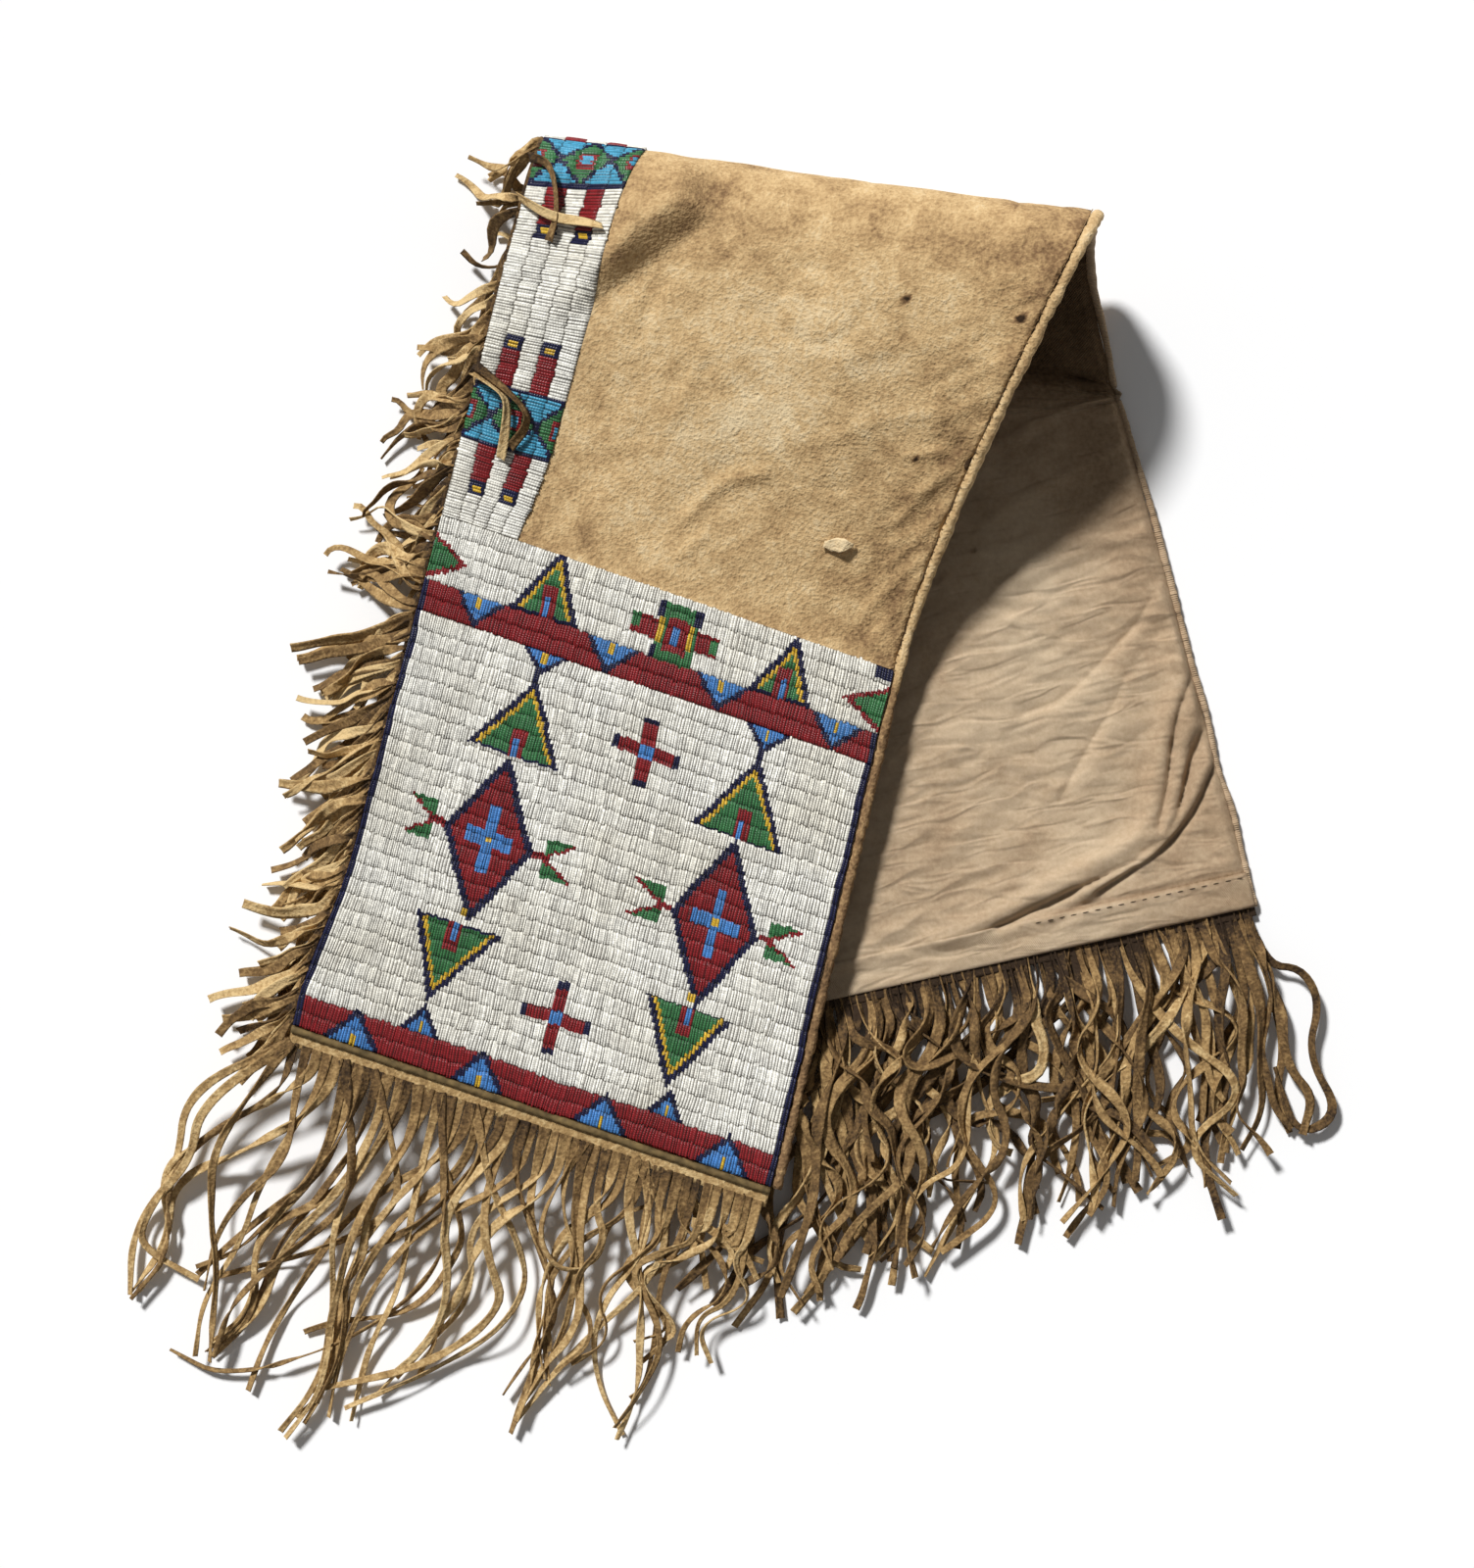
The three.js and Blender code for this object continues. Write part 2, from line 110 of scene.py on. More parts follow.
# One long edge: front panel, rise to the fold, loop, floor, back panel.
def edgeParts(side):
    hemMiddle = -toward(bag["backHemTilt"]) * bag["restLane"] * bag["laneHeight"]
    hemEnds = [hemMiddle + s * along(bag["backHemTilt"]) * bag["width"] / 2 for s in (-1, 1)]
    crests = [hem + toward(bag["backLean"]) * run for hem, run in zip(hemEnds, bag["backRun"])]
    frontLeft = crests[0] - toward(bag["frontLean"]) * bag["frontRun"]
    front = [frontLeft, frontLeft + along(bag["frontHemTilt"]) * bag["width"]][side]
    crest, back = crests[side], hemEnds[side]
    hemZ, crestZ, floorZ = bag["hemZ"][side], bag["crestZ"][side], bag["floorZ"]
    axis = (crest - front) / np.linalg.norm(crest - front)
    panelTop = front + axis * panelLength + np.array([-axis[1], axis[0]]) * bag["bow"][side]
    down = (back - crest) / np.linalg.norm(back - crest)
    touch = crest + down * bag["loopReach"][side]
    backTop = back - down * panelLength
    start, rise = raised(front, hemZ), raised(panelTop, hemZ + bag["panelRise"])
    slope = (rise - start) / np.linalg.norm(rise - start)
    turn = raised(crest, crestZ)
    return [
        np.linspace(start, rise, 60),
        bend(rise, rise + slope * bag["riseHandle"], raised(crest, crestZ + bag["crown"][side]), turn),
        bend(
            turn,
            raised(crest, floorZ + bag["loopEase"][0] * (crestZ - floorZ)),
            raised(crest + bag["loopEase"][1] * (touch - crest), floorZ),
            raised(touch, floorZ),
        ),
        np.linspace(raised(touch, floorZ), raised(backTop, floorZ), 60),
        np.linspace(raised(backTop, floorZ), raised(back, floorZ), 60),
    ]


# Runs of rows laid end to end, without the row that two of them share.
def joined(runs):
    return np.concatenate([rows[:-1] for rows in runs[:-1]] + [runs[-1]])


samples = 161
parts = [[evenly(part, samples) for part in edgeParts(side)] for side in (0, 1)]
spans = [(parts[0][k][1] + parts[1][k][1]) / 2 for k in range(5)]
spans[0] = spans[4] = panelLength
breaks = np.concatenate([[0], np.cumsum(spans)])
bagLength = breaks[5]
crestV = breaks[2]
overhang = 90.0  # the pattern runs on straight past both hems for the fringe bands
lengths = joined([np.linspace(low, high, samples) for low, high in zip(breaks, breaks[1:])])
stations = np.concatenate([[-overhang], lengths, [bagLength + overhang]])


def edgeTable(side):
    rows = joined([points for points, length in parts[side]])
    first = rows[0] + (rows[0] - rows[1]) / (lengths[1] - lengths[0]) * overhang
    last = rows[-1] + (rows[-1] - rows[-2]) / (lengths[-1] - lengths[-2]) * overhang
    return np.concatenate([[first], rows, [last]])


edges = [edgeTable(side) for side in (0, 1)]
runs = [np.gradient(table, stations, axis=0) for table in edges]


def readOff(table, v):
    return np.stack([np.interp(v, stations, table[:, k]) for k in range(3)], -1)


# The weight of the beads and the fringe seam draw the fringed edge in a little above the front hem.
def drawnIn(u, v):
    panel = smooth(20, 120, v) * (1 - smooth(0, 55, u))
    strip = 1 - smooth(20, 200, u)
    above = smooth(320, 420, v)
    return bag["drawIn"] * (panel * (1 - above) + strip * above) * (1 - smooth(crestV, crestV + 90, v))


# From the flat pattern to the folded bag: u across from the fringed edge, v up from the front hem, w outward.
def onBag(u, v, w):
    u, v, w = np.broadcast_arrays(*(np.asarray(x, float) for x in (u, v, w)))
    share = ((u + drawnIn(u, v)) / bag["width"])[..., None]
    left, right = readOff(edges[0], v), readOff(edges[1], v)
    across = right - left
    run = readOff(runs[0], v) * (1 - share) + readOff(runs[1], v) * share
    normal = np.cross(across, run)
    normal /= np.linalg.norm(normal, axis=-1, keepdims=True)
    return left + across * share + normal * w[..., None]


def softNoise(x, y, size, seed):
    lattice = np.random.default_rng(seed).uniform(-1, 1, (128, 128))
    x, y = np.asarray(x, float) / size, np.asarray(y, float) / size
    i, j = np.floor(x).astype(int), np.floor(y).astype(int)
    a, b = smooth(0, 1, x - i), smooth(0, 1, y - j)

    def corner(p, q):
        return lattice[(i + p) % 128, (j + q) % 128]

    low = corner(0, 0) * (1 - a) + corner(1, 0) * a
    high = corner(0, 1) * (1 - a) + corner(1, 1) * a
    return low * (1 - b) + high * b


# A path with its corners cut off three times over.
def rounded(path):
    points = np.array(path, float)
    for _ in range(3):
        cuts = [0.75 * points[:-1] + 0.25 * points[1:], 0.25 * points[:-1] + 0.75 * points[1:]]
        points = np.concatenate([points[:1], np.stack(cuts, 1).reshape(-1, points.shape[1]), points[-1:]])
    return points


# Height of a crease: 1 along a line through the points, gone a few widths away; power 1 makes it sharp.
def crease(u, v, path, width, power=2):
    nearest = np.full(np.broadcast(u, v).shape, 1e9)
    course = rounded(path)
    for (au, av), (bu, bv) in zip(course, course[1:]):
        du, dv = bu - au, bv - av
        share = np.clip(((u - au) * du + (v - av) * dv) / (du * du + dv * dv), 0, 1)
        nearest = np.minimum(nearest, np.hypot(u - au - share * du, v - av - share * dv))
    return np.exp(-((nearest / width) ** power))


# Slow unevenness that all the layers share, with a buckle beside the strip where the fold turns.
lie = {"swell": 2.2, "panelSwell": 0.45, "ripple": 0.8, "buckle": 18.0, "pucker": 2.6, "settle": -1.2}


def sag(u, v):
    u, v = np.broadcast_arrays(np.asarray(u, float), np.asarray(v, float))
    front = 1 - smooth(crestV - 50, crestV + 40, v)
    panel = 1 - smooth(panelLength - 10, panelLength + 60, v)
    swell = lie["swell"] * softNoise(u, v, 85, 3) * (1 - (1 - lie["panelSwell"]) * panel)
    swell = swell + lie["ripple"] * softNoise(u, v, 38, 4) * (1 - panel)
    inBuckle = np.minimum(110 + (650 - v) * 0.236 - u, (v - 595) * 0.625 - (u - 123) * 0.781)
    fromStrip = 0.08 + 0.92 * smooth(25, 80, u)
    buckle = lie["buckle"] * smooth(0, 27, inBuckle) * fromStrip * (1 - smooth(585, 655, v))
    pucker = lie["pucker"] * crease(u, v, [(318, 478), (330, 474)], 8)
    lift = np.minimum(lie["settle"] - 1.1 * softNoise(u, v, 120, 5), 0)
    return front * (swell + buckle - pucker) + (1 - front) * lift * smooth(breaks[3], breaks[3] + 60, v)


def hexColour(text):
    channels = [int(text[k : k + 2], 16) / 255 for k in (1, 3, 5)]
    return tuple(c / 12.92 if c <= 0.04045 else ((c + 0.055) / 1.055) ** 2.4 for c in channels) + (1.0,)


# Adds a node; a link is a socket or a plain value, by socket name or number; stops are for a colour ramp.
def addNode(tree, kind, links=None, stops=(), **settings):
    node = tree.nodes.new(kind)
    for name, value in settings.items():
        setattr(node, name, value)
    for socket, value in (links or {}).items():
        if isinstance(value, bpy.types.NodeSocket):
            tree.links.new(value, node.inputs[socket])
        else:
            node.inputs[socket].default_value = value
    for k, (position, colour) in enumerate(stops):
        elements = node.color_ramp.elements
        element = elements[k] if k < len(elements) else elements.new(position)
        element.position = position
        element.color = hexColour(colour)
    return node


def newMaterial(name, **constants):
    material = bpy.data.materials.new(name)
    material.use_nodes = True
    shader = material.node_tree.nodes["Principled BSDF"]
    for socket, value in constants.items():
        shader.inputs[socket.replace("_", " ")].default_value = value
    return material, material.node_tree


def wire(material, colour, bump):
    tree = material.node_tree
    shader = tree.nodes["Principled BSDF"]
    tree.links.new(colour, shader.inputs["Base Color"])
    tree.links.new(bump.outputs["Normal"], shader.inputs["Normal"])
    return material


# Noise scale for features of a size in mm, on coordinates in metres.
def grainScale(size):
    return 1 / (size * mm)


# Tanned hide: chalky suede, mottled by handling, its nap drawn coarse enough to show. Tone is set per point.
def hideMaterial():
    material, tree = newMaterial("tannedHide", Roughness=0.95, Specular_IOR_Level=0.12)
    at = addNode(tree, "ShaderNodeTexCoord").outputs["Object"]
    tone = addNode(tree, "ShaderNodeAttribute", attribute_name="tone").outputs["Fac"]
    cloudLinks = {"Vector": at, "Scale": grainScale(16.6667), "Detail": 4.0, "Roughness": 0.7}
    cloud = addNode(tree, "ShaderNodeTexNoise", cloudLinks).outputs["Fac"]
    mixed = addNode(tree, "ShaderNodeMath", {0: cloud, 1: 0.8, 2: tone}, operation="MULTIPLY_ADD").outputs[0]
    grainLinks = {"Vector": at, "Scale": grainScale(2.5), "Detail": 1.5, "Roughness": 0.6}
    grain = addNode(tree, "ShaderNodeTexNoise", grainLinks).outputs["Fac"]
    pits = {0: grain, 1: 0.55, 2: mixed}
    pitted = addNode(tree, "ShaderNodeMath", pits, operation="MULTIPLY_ADD").outputs[0]
    stops = [(0.0, "#33261A"), (0.3, "#86694A"), (0.52, "#B5956A"), (0.72, "#D0B182"), (1.0, "#E4CDA4")]
    colour = addNode(tree, "ShaderNodeValToRGB", {"Fac": pitted}, stops).outputs["Color"]
    bump = addNode(tree, "ShaderNodeBump", {"Height": grain, "Strength": 1.0, "Distance": 1.3 * mm})
    return wire(material, colour, bump)


# Cotton twill: slanted ribs about 1 mm apart, washed out and unevenly soiled.
def clothMaterial():
    material, tree = newMaterial("cottonTwill", Roughness=0.97, Specular_IOR_Level=0.08)
    at = addNode(tree, "ShaderNodeTexCoord").outputs["Object"]
    pattern = addNode(tree, "ShaderNodeUVMap", uv_map="pattern").outputs["UV"]
    tone = addNode(tree, "ShaderNodeAttribute", attribute_name="tone").outputs["Fac"]
    cloudLinks = {"Vector": at, "Scale": grainScale(28.5714), "Detail": 7.0, "Roughness": 0.6}
    cloud = addNode(tree, "ShaderNodeTexNoise", cloudLinks).outputs["Fac"]
    mixed = addNode(tree, "ShaderNodeMath", {0: cloud, 1: 0.3, 2: tone}, operation="MULTIPLY_ADD").outputs[0]
    slubLinks = {"Vector": at, "Scale": grainScale(3.0303), "Detail": 2.0, "Roughness": 0.6}
    slub = addNode(tree, "ShaderNodeTexNoise", slubLinks).outputs["Fac"]
    flecks = {0: slub, 1: 0.4, 2: mixed}
    flecked = addNode(tree, "ShaderNodeMath", flecks, operation="MULTIPLY_ADD").outputs[0]
    stops = [(0.0, "#3E2E20"), (0.3, "#80684D"), (0.55, "#AB9174"), (0.75, "#BFA688"), (1.0, "#D2BC9E")]
    colour = addNode(tree, "ShaderNodeValToRGB", {"Fac": flecked}, stops).outputs["Color"]
    ribLinks = {"Vector": pattern, "Scale": 44.0, "Distortion": 0.8, "Detail": 1.0, "Detail Scale": 3.0}
    rib = addNode(tree, "ShaderNodeTexWave", ribLinks, bands_direction="DIAGONAL").outputs["Fac"]
    weave = addNode(tree, "ShaderNodeMath", {0: rib, 1: slub}, operation="ADD").outputs[0]
    ribbing = {"Height": weave, "Strength": 0.5, "Distance": 1.2 * mm}
    ribbed = addNode(tree, "ShaderNodeBump", ribbing).outputs["Normal"]
    # Puckers about 10 mm apart and three times as long, across the cloth; a turn of the map is 100 mm.
    drawn = addNode(tree, "ShaderNodeMapping", {"Vector": pattern, "Scale": (3.4, 10.0, 1.0)}).outputs[0]
    puckerLinks = {"Vector": drawn, "Scale": 1.0, "Detail": 1.5, "Distortion": 0.9}
    pucker = addNode(tree, "ShaderNodeTexNoise", puckerLinks).outputs["Fac"]
    puckering = {"Height": pucker, "Strength": 1.0, "Distance": 3.2 * mm, "Normal": ribbed}
    return wire(material, colour, addNode(tree, "ShaderNodeBump", puckering))


# Strands of old smoked hide: each a little different, darker at the root with soil and painted shade, with a
# soft nap.
def thongMaterial():
    material, tree = newMaterial("smokedThong", Roughness=0.88, Specular_IOR_Level=0.2)
    at = addNode(tree, "ShaderNodeTexCoord").outputs["Object"]
    tone = addNode(tree, "ShaderNodeAttribute", attribute_name="strandTone").outputs["Fac"]
    reach = addNode(tree, "ShaderNodeAttribute", attribute_name="strandReach").outputs["Fac"]
    cloudLinks = {"Vector": at, "Scale": grainScale(8.3333), "Detail": 4.0, "Roughness": 0.65}
    cloud = addNode(tree, "ShaderNodeTexNoise", cloudLinks).outputs["Fac"]
    # Darker near the root: soil and painted shade where the strands crowd at the seam.
    soil = {"Value": reach, "From Max": 0.22, "To Min": -0.2, "To Max": 0.04}
    rootShadeAndSoil = addNode(tree, "ShaderNodeMapRange", soil).outputs[0]
    faded = addNode(tree, "ShaderNodeMath", {0: tone, 1: rootShadeAndSoil}, operation="ADD").outputs[0]
    mixed = addNode(tree, "ShaderNodeMath", {0: cloud, 1: 0.7, 2: faded}, operation="MULTIPLY_ADD").outputs[0]
    napLinks = {"Vector": at, "Scale": grainScale(2.08333), "Detail": 2.0}
    nap = addNode(tree, "ShaderNodeTexNoise", napLinks).outputs["Fac"]
    pitted = addNode(tree, "ShaderNodeMath", {0: nap, 1: 0.32, 2: mixed}, operation="MULTIPLY_ADD").outputs[0]
    stops = [(0.35, "#33261A"), (0.6, "#745A39"), (0.82, "#A98A5C"), (1.0, "#D2B684")]
    colour = addNode(tree, "ShaderNodeValToRGB", {"Fac": pitted}, stops).outputs["Color"]
    bump = addNode(tree, "ShaderNodeBump", {"Height": nap, "Strength": 1.0, "Distance": 1.0 * mm})
    return wire(material, colour, bump)


# Dark rolled hide, greasy from the hand.
def weltMaterial():
    material, tree = newMaterial("darkHide", Roughness=0.8, Specular_IOR_Level=0.25)
    at = addNode(tree, "ShaderNodeTexCoord").outputs["Object"]
    cloudLinks = {"Vector": at, "Scale": grainScale(6.25), "Detail": 5.0}
    cloud = addNode(tree, "ShaderNodeTexNoise", cloudLinks).outputs["Fac"]
    stops = [(0.3, "#4A3D24"), (0.55, "#6E5B3A"), (0.8, "#8A7449")]
    colour = addNode(tree, "ShaderNodeValToRGB", {"Fac": cloud}, stops).outputs["Color"]
    bump = addNode(tree, "ShaderNodeBump", {"Height": cloud, "Strength": 0.6, "Distance": 1.0 * mm})
    return wire(material, colour, bump)


# Glass seed beads: the colour is set bead by bead; one turn of the map is one bead, 2 mm by 1.5 mm.
def beadMaterial():
    material, tree = newMaterial("glassBeads", Roughness=0.28, Specular_IOR_Level=0.16)
    ink = addNode(tree, "ShaderNodeAttribute", attribute_name="ink").outputs["Color"]
    beads = addNode(tree, "ShaderNodeUVMap", uv_map="beads").outputs["UV"]
    upBead = addNode(tree, "ShaderNodeSeparateXYZ", {"Vector": beads}).outputs["Y"]
    turn = addNode(tree, "ShaderNodeMath", {0: upBead, 1: 2 * math.pi}, operation="MULTIPLY").outputs[0]
    dip = addNode(tree, "ShaderNodeMath", {0: turn}, operation="COSINE").outputs[0]
    rounding = {"Height": dip, "Strength": 0.35, "Distance": 0.2 * mm}
    return wire(material, ink, addNode(tree, "ShaderNodeBump", rounding, invert=True))


# Sewing thread: dark waxed cotton in the hem, pale sinew in the long edge.
def threadMaterial(name, colour):
    return newMaterial(name, Base_Color=hexColour(colour), Roughness=0.8)[0]


finish = {
    "hide": hideMaterial(),
    "cloth": clothMaterial(),
    "thong": thongMaterial(),
    "welt": weltMaterial(),
    "beads": beadMaterial(),
    "thread": threadMaterial("waxedThread", "#4A3822"),
    "paleThread": threadMaterial("sinewThread", "#8F7350"),
}
print("materials made")


def newObject(name, vertices, faces, material):
    mesh = bpy.data.meshes.new(name)
    mesh.from_pydata((np.asarray(vertices) * mm).tolist(), [], faces)
    mesh.materials.append(material)
    mesh.polygons.foreach_set("use_smooth", [True] * len(mesh.polygons))
    piece = bpy.data.objects.new(name, mesh)
    scene.collection.objects.link(piece)
    return piece


def addMap(piece, name, u, v):
    loops = np.empty(len(piece.data.loops), int)
    piece.data.loops.foreach_get("vertex_index", loops)
    layerMap = piece.data.uv_layers.new(name=name)
    layerMap.data.foreach_set("uv", np.stack([u[loops], v[loops]], 1).ravel())


def addTone(piece, values):
    piece.data.attributes.new("tone", "FLOAT", "POINT").data.foreach_set("value", np.asarray(values, float))


def place(piece, slot, *nodes):
    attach(piece, "root")
    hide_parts(*nodes)
    return piece


def gridFaces(rows, columns, first=0, flip=False):
    index = np.arange(rows * columns).reshape(rows, columns) + first
    a, b, c, d = index[:-1, :-1], index[:-1, 1:], index[1:, 1:], index[1:, :-1]
    order = (d, c, b, a) if flip else (a, b, c, d)
    return np.stack([corner.ravel() for corner in order], 1)


# A sheet with thickness on the flat pattern; cells that keep leaves out are cut away.
def sheetPiece(name, us, vs, outer, inner, tone, material, keep=None, warp=None):
    v, u = np.meshgrid(vs, us, indexing="ij")
    if warp:
        u, v = warp(u, v)
    rows, columns = u.shape
    vertices = np.concatenate([onBag(u, v, face(u, v)).reshape(-1, 3) for face in (outer, inner)])
    kept = np.ones((rows - 1, columns - 1), bool)
    if keep:
        kept = keep((u[:-1, :-1] + u[1:, 1:]) / 2, (v[:-1, :-1] + v[1:, 1:]) / 2)
    count = rows * columns
    chosen = kept.ravel()
    faces = gridFaces(rows, columns)[chosen].tolist() + gridFaces(rows, columns, count, True)[chosen].tolist()
    index = np.arange(count).reshape(rows, columns)
    ringed = np.pad(kept, 1)
    inside = ringed[1:-1, 1:-1]
    borders = [
        (ringed[:-2, 1:-1], index[:-1, 1:], index[:-1, :-1]),
        (ringed[2:, 1:-1], index[1:, :-1], index[1:, 1:]),
        (ringed[1:-1, :-2], index[:-1, :-1], index[1:, :-1]),
        (ringed[1:-1, 2:], index[1:, 1:], index[:-1, 1:]),
    ]
    for neighbour, a, b in borders:
        rim = inside & ~neighbour
        faces += np.stack([a[rim], b[rim], b[rim] + count, a[rim] + count], 1).tolist()
    piece = newObject(name, vertices, faces, material)
    flatU, flatV = np.tile(u.ravel(), 2), np.tile(v.ravel(), 2)
    addMap(piece, "pattern", flatU / 100, flatV / 100)
    addTone(piece, np.tile(tone(u, v).ravel(), 2))
    return piece


# Bare hide: puckers along the open seam, small wrinkles, old handling marks with painted shade along creases,
# puckers and the buckle, and dark spots of painted shade for small worn holes.
hide = {
    "creases": [
        ([(156, 575), (169, 564), (180, 555)], 3, -1.2),
        ([(168, 398), (183, 427), (208, 438)], 5, 1.8),
        ([(171, 372), (182, 388)], 4, 1.2),
        ([(308, 452), (324, 471)], 3, 1.6),
        ([(301, 432), (314, 454)], 3, 1.4),
        ([(306, 404), (319, 425), (326, 442)], 3, 1.5),
        ([(300, 372), (314, 396), (326, 412)], 3, 1.4),
        ([(310, 356), (320, 376), (329, 402)], 3, 1.4),
        ([(290, 470), (306, 478), (324, 476)], 3, 1.5),
        ([(98, 507), (100, 545)], 5, -1.4),
        ([(145, 506), (137, 461)], 5, 0.8),
        ([(215, 590), (190, 610), (170, 640)], 6, 0.8),
        ([(230, 520), (270, 540), (310, 536)], 6, 0.8),
        ([(240, 470), (272, 492), (300, 500)], 5, 0.9),
    ],
    # Darker marks: old stains, and painted shade along creases, seam puckers and the hollow of the buckle.
    "marksAndShade": [
        ([(156, 575), (169, 564), (180, 555)], 4, 0.1),
        ([(178, 556), (200, 548), (225, 556)], 12, 0.09),
        ([(168, 398), (183, 427), (208, 438)], 8, 0.08),
        ([(98, 507), (100, 545)], 6, 0.1),
        ([(316, 356), (318, 420), (322, 480)], 12, 0.09),
        ([(326, 500), (326, 640)], 6, 0.06),
        ([(70, 352), (160, 356), (320, 352)], 6, 0.07),
        ([(68, 380), (70, 470), (66, 600)], 5, 0.05),
        ([(250, 540), (262, 570), (240, 600)], 14, 0.05),
        ([(300, 362), (318, 380)], 9, 0.08),
        ([(308, 470), (324, 478)], 7, 0.12),
        ([(318, 380), (325, 392)], 7, 0.12),
        ([(70, 560), (92, 545), (106, 582), (116, 616)], 9, 0.14),
        ([(100, 590), (118, 612), (126, 640)], 11, 0.1),
        ([(275, 585), (300, 590), (322, 580)], 16, 0.08),
    ],
    # Small worn holes, drawn as dark spots: the shade inside them is painted.
    "spots": [(252, 562.5, 2.7), (321, 562, 2.9), (297, 470, 2.0)],
}


def bareHide(u, v):
    clear = smooth(64, 74, u) * smooth(panelLength + 1, panelLength + 12, v)
    return clear * (1 - smooth(breaks[4] - 12, breaks[4] - 1, v))


def hideOuter(u, v):
    wrinkles = sum(height * crease(u, v, path, width) for path, width, height in hide["creases"])
    wrinkles = wrinkles + 0.6 * softNoise(u + 0.5 * v, v - 0.4 * u, 19, 11) + 0.22 * softNoise(u, v, 9, 12)
    # Old folding has left a loose net of shallow lines.
    wide = np.exp(-((softNoise(u + 0.3 * v, v, 46, 14) / 0.09) ** 2))
    wide = wide * np.clip(softNoise(u, v, 60, 15) + 0.4, 0, 1)
    close = np.exp(-((softNoise(u, v - 0.4 * u, 27, 16) / 0.1) ** 2))
    close = close * np.clip(softNoise(u, v, 50, 17), 0, 1)
    wrinkles = wrinkles - 0.9 * (wide + close)
    # The seam of the open edge draws the hide into short slanting puckers.
    wrinkles = wrinkles + smooth(272, 326, u) * 1.1 * softNoise(0.35 * (u + 0.8 * v), v - 0.9 * u, 8, 13)
    return layer["hideOut"] + sag(u, v) + bareHide(u, v) * wrinkles


def hideTone(u, v):
    tone = -0.16 + 0.07 * softNoise(u, v, 70, 21) + 0.08 * softNoise(u, v, 26, 22)
    # Darker up toward the fold and lighter again along the crest: painted shade and painted light that even
    # out how the slopes of the fold take the light.
    tone = tone + 0.07 * softNoise(u, v, 9, 23) + 0.16 * smooth(625, 530, v) - 0.04 * smooth(430, 360, v)
    tone = tone - 0.1 * smooth(240, 330, u) + 0.1 * smooth(600, 640, v)
    tone = tone + 0.2 * np.exp(-(((u - 180) / 62) ** 2 + ((v - 490) / 75) ** 2))
    # Marks darken the tone: stains and painted shade in creases and the buckle's hollow.
    for path, width, depth in hide["marksAndShade"]:
        tone = tone - depth * crease(u, v, path, width) * (0.7 + 0.5 * softNoise(u, v, 12, 24))
    # Painted shade for small worn holes.
    for atU, atV, size in hide["spots"]:
        tone = tone - 0.9 * np.exp(-((np.hypot(u - atU, v - atV) / size) ** 4))
    return tone


pastFold = 690.0  # the rows are close together from the panel to here
hideSheet = sheetPiece(
    "hideSheet",
    np.linspace(0, bag["width"], 121),
    joined(
        [
            np.linspace(0, panelLength, 40),
            np.linspace(panelLength, pastFold, 160),
            np.linspace(pastFold, bagLength, 80),
        ]
    ),
    hideOuter,
    lambda u, v: layer["hideIn"] + sag(u, v),
    hideTone,
    finish["hide"],
)
place(hideSheet, "tanned_hide", "hide_panel")

# Cotton back: fine ripples across it, long folds sweeping down to the hem.
cloth = {
    "slit": (163.5, 166.5, crestV - 150, crestV + 150),
    "loose": 3.2,
    "pile": 8.0,
    # Path, width, height and sharpness: rounded folds first, then the sharp valleys between them.
    "folds": [
        (
            [(327, 1039), (326, 1059), (304, 1090), (291, 1120), (280, 1147), (261, 1164), (195, 1179)],
            6.5, 8.0, 2,
        ),
        (
            [(329, 1073), (314, 1099), (303, 1123), (291, 1150), (273, 1166), (251, 1177), (223, 1186)],
            5.0, 7.5, 2,
        ),
        ([(328, 1115), (308, 1141), (285, 1162), (264, 1175)], 5.0, 6.0, 2),
        ([(233, 1171), (195, 1180), (161, 1188), (120, 1197)], 6.0, 4.0, 2),
        ([(316, 1014), (294, 1034), (262, 1055), (236, 1068)], 9.0, 2.0, 2),
        ([(282, 1062), (266, 1094), (232, 1126)], 9.0, 1.5, 2),
        ([(322, 1000), (326, 1030), (322, 1052)], 5.0, 5.0, 2),
        ([(325, 800), (260, 830), (180, 850)], 7.0, 2.4, 2),
        ([(322, 850), (270, 880), (210, 890)], 6.0, 2.2, 2),
        ([(326, 900), (280, 915), (230, 930)], 5.0, 1.8, 2),
        ([(330, 962), (279, 963), (228, 978)], 6.0, 1.8, 2),
        (
            [(330, 1059), (312, 1084), (303, 1106), (295, 1128), (284, 1148), (280, 1161), (266, 1168)],
            2.2, -6.0, 1,
        ),
        (
            [(326, 1100), (312, 1118), (304, 1136), (289, 1158), (267, 1171), (217, 1184), (161, 1197)],
            2.2, -6.5, 1,
        ),
        ([(328, 1122), (309, 1149), (290, 1164), (271, 1174), (232, 1188)], 2.2, -6.0, 1),
        ([(325, 993), (316, 1007), (299, 1023), (268, 1043), (240, 1060), (214, 1062)], 2.6, -2.8, 1),
        ([(286, 1053), (273, 1070), (258, 1085), (240, 1104), (223, 1123)], 2.2, -2.2, 1),
        ([(322, 984), (325, 1008), (320, 1034)], 2.4, -2.2, 1),
        ([(308, 1019), (291, 1028), (270, 1030)], 2.2, -1.4, 1),
        ([(221, 1194), (188, 1206), (170, 1210)], 2.6, -2.4, 1),
        ([(131, 1208), (101, 1199), (79, 1188)], 2.6, -1.6, 1),
    ],
    "spots": [(211.3, 949.7, 1.8)],
}


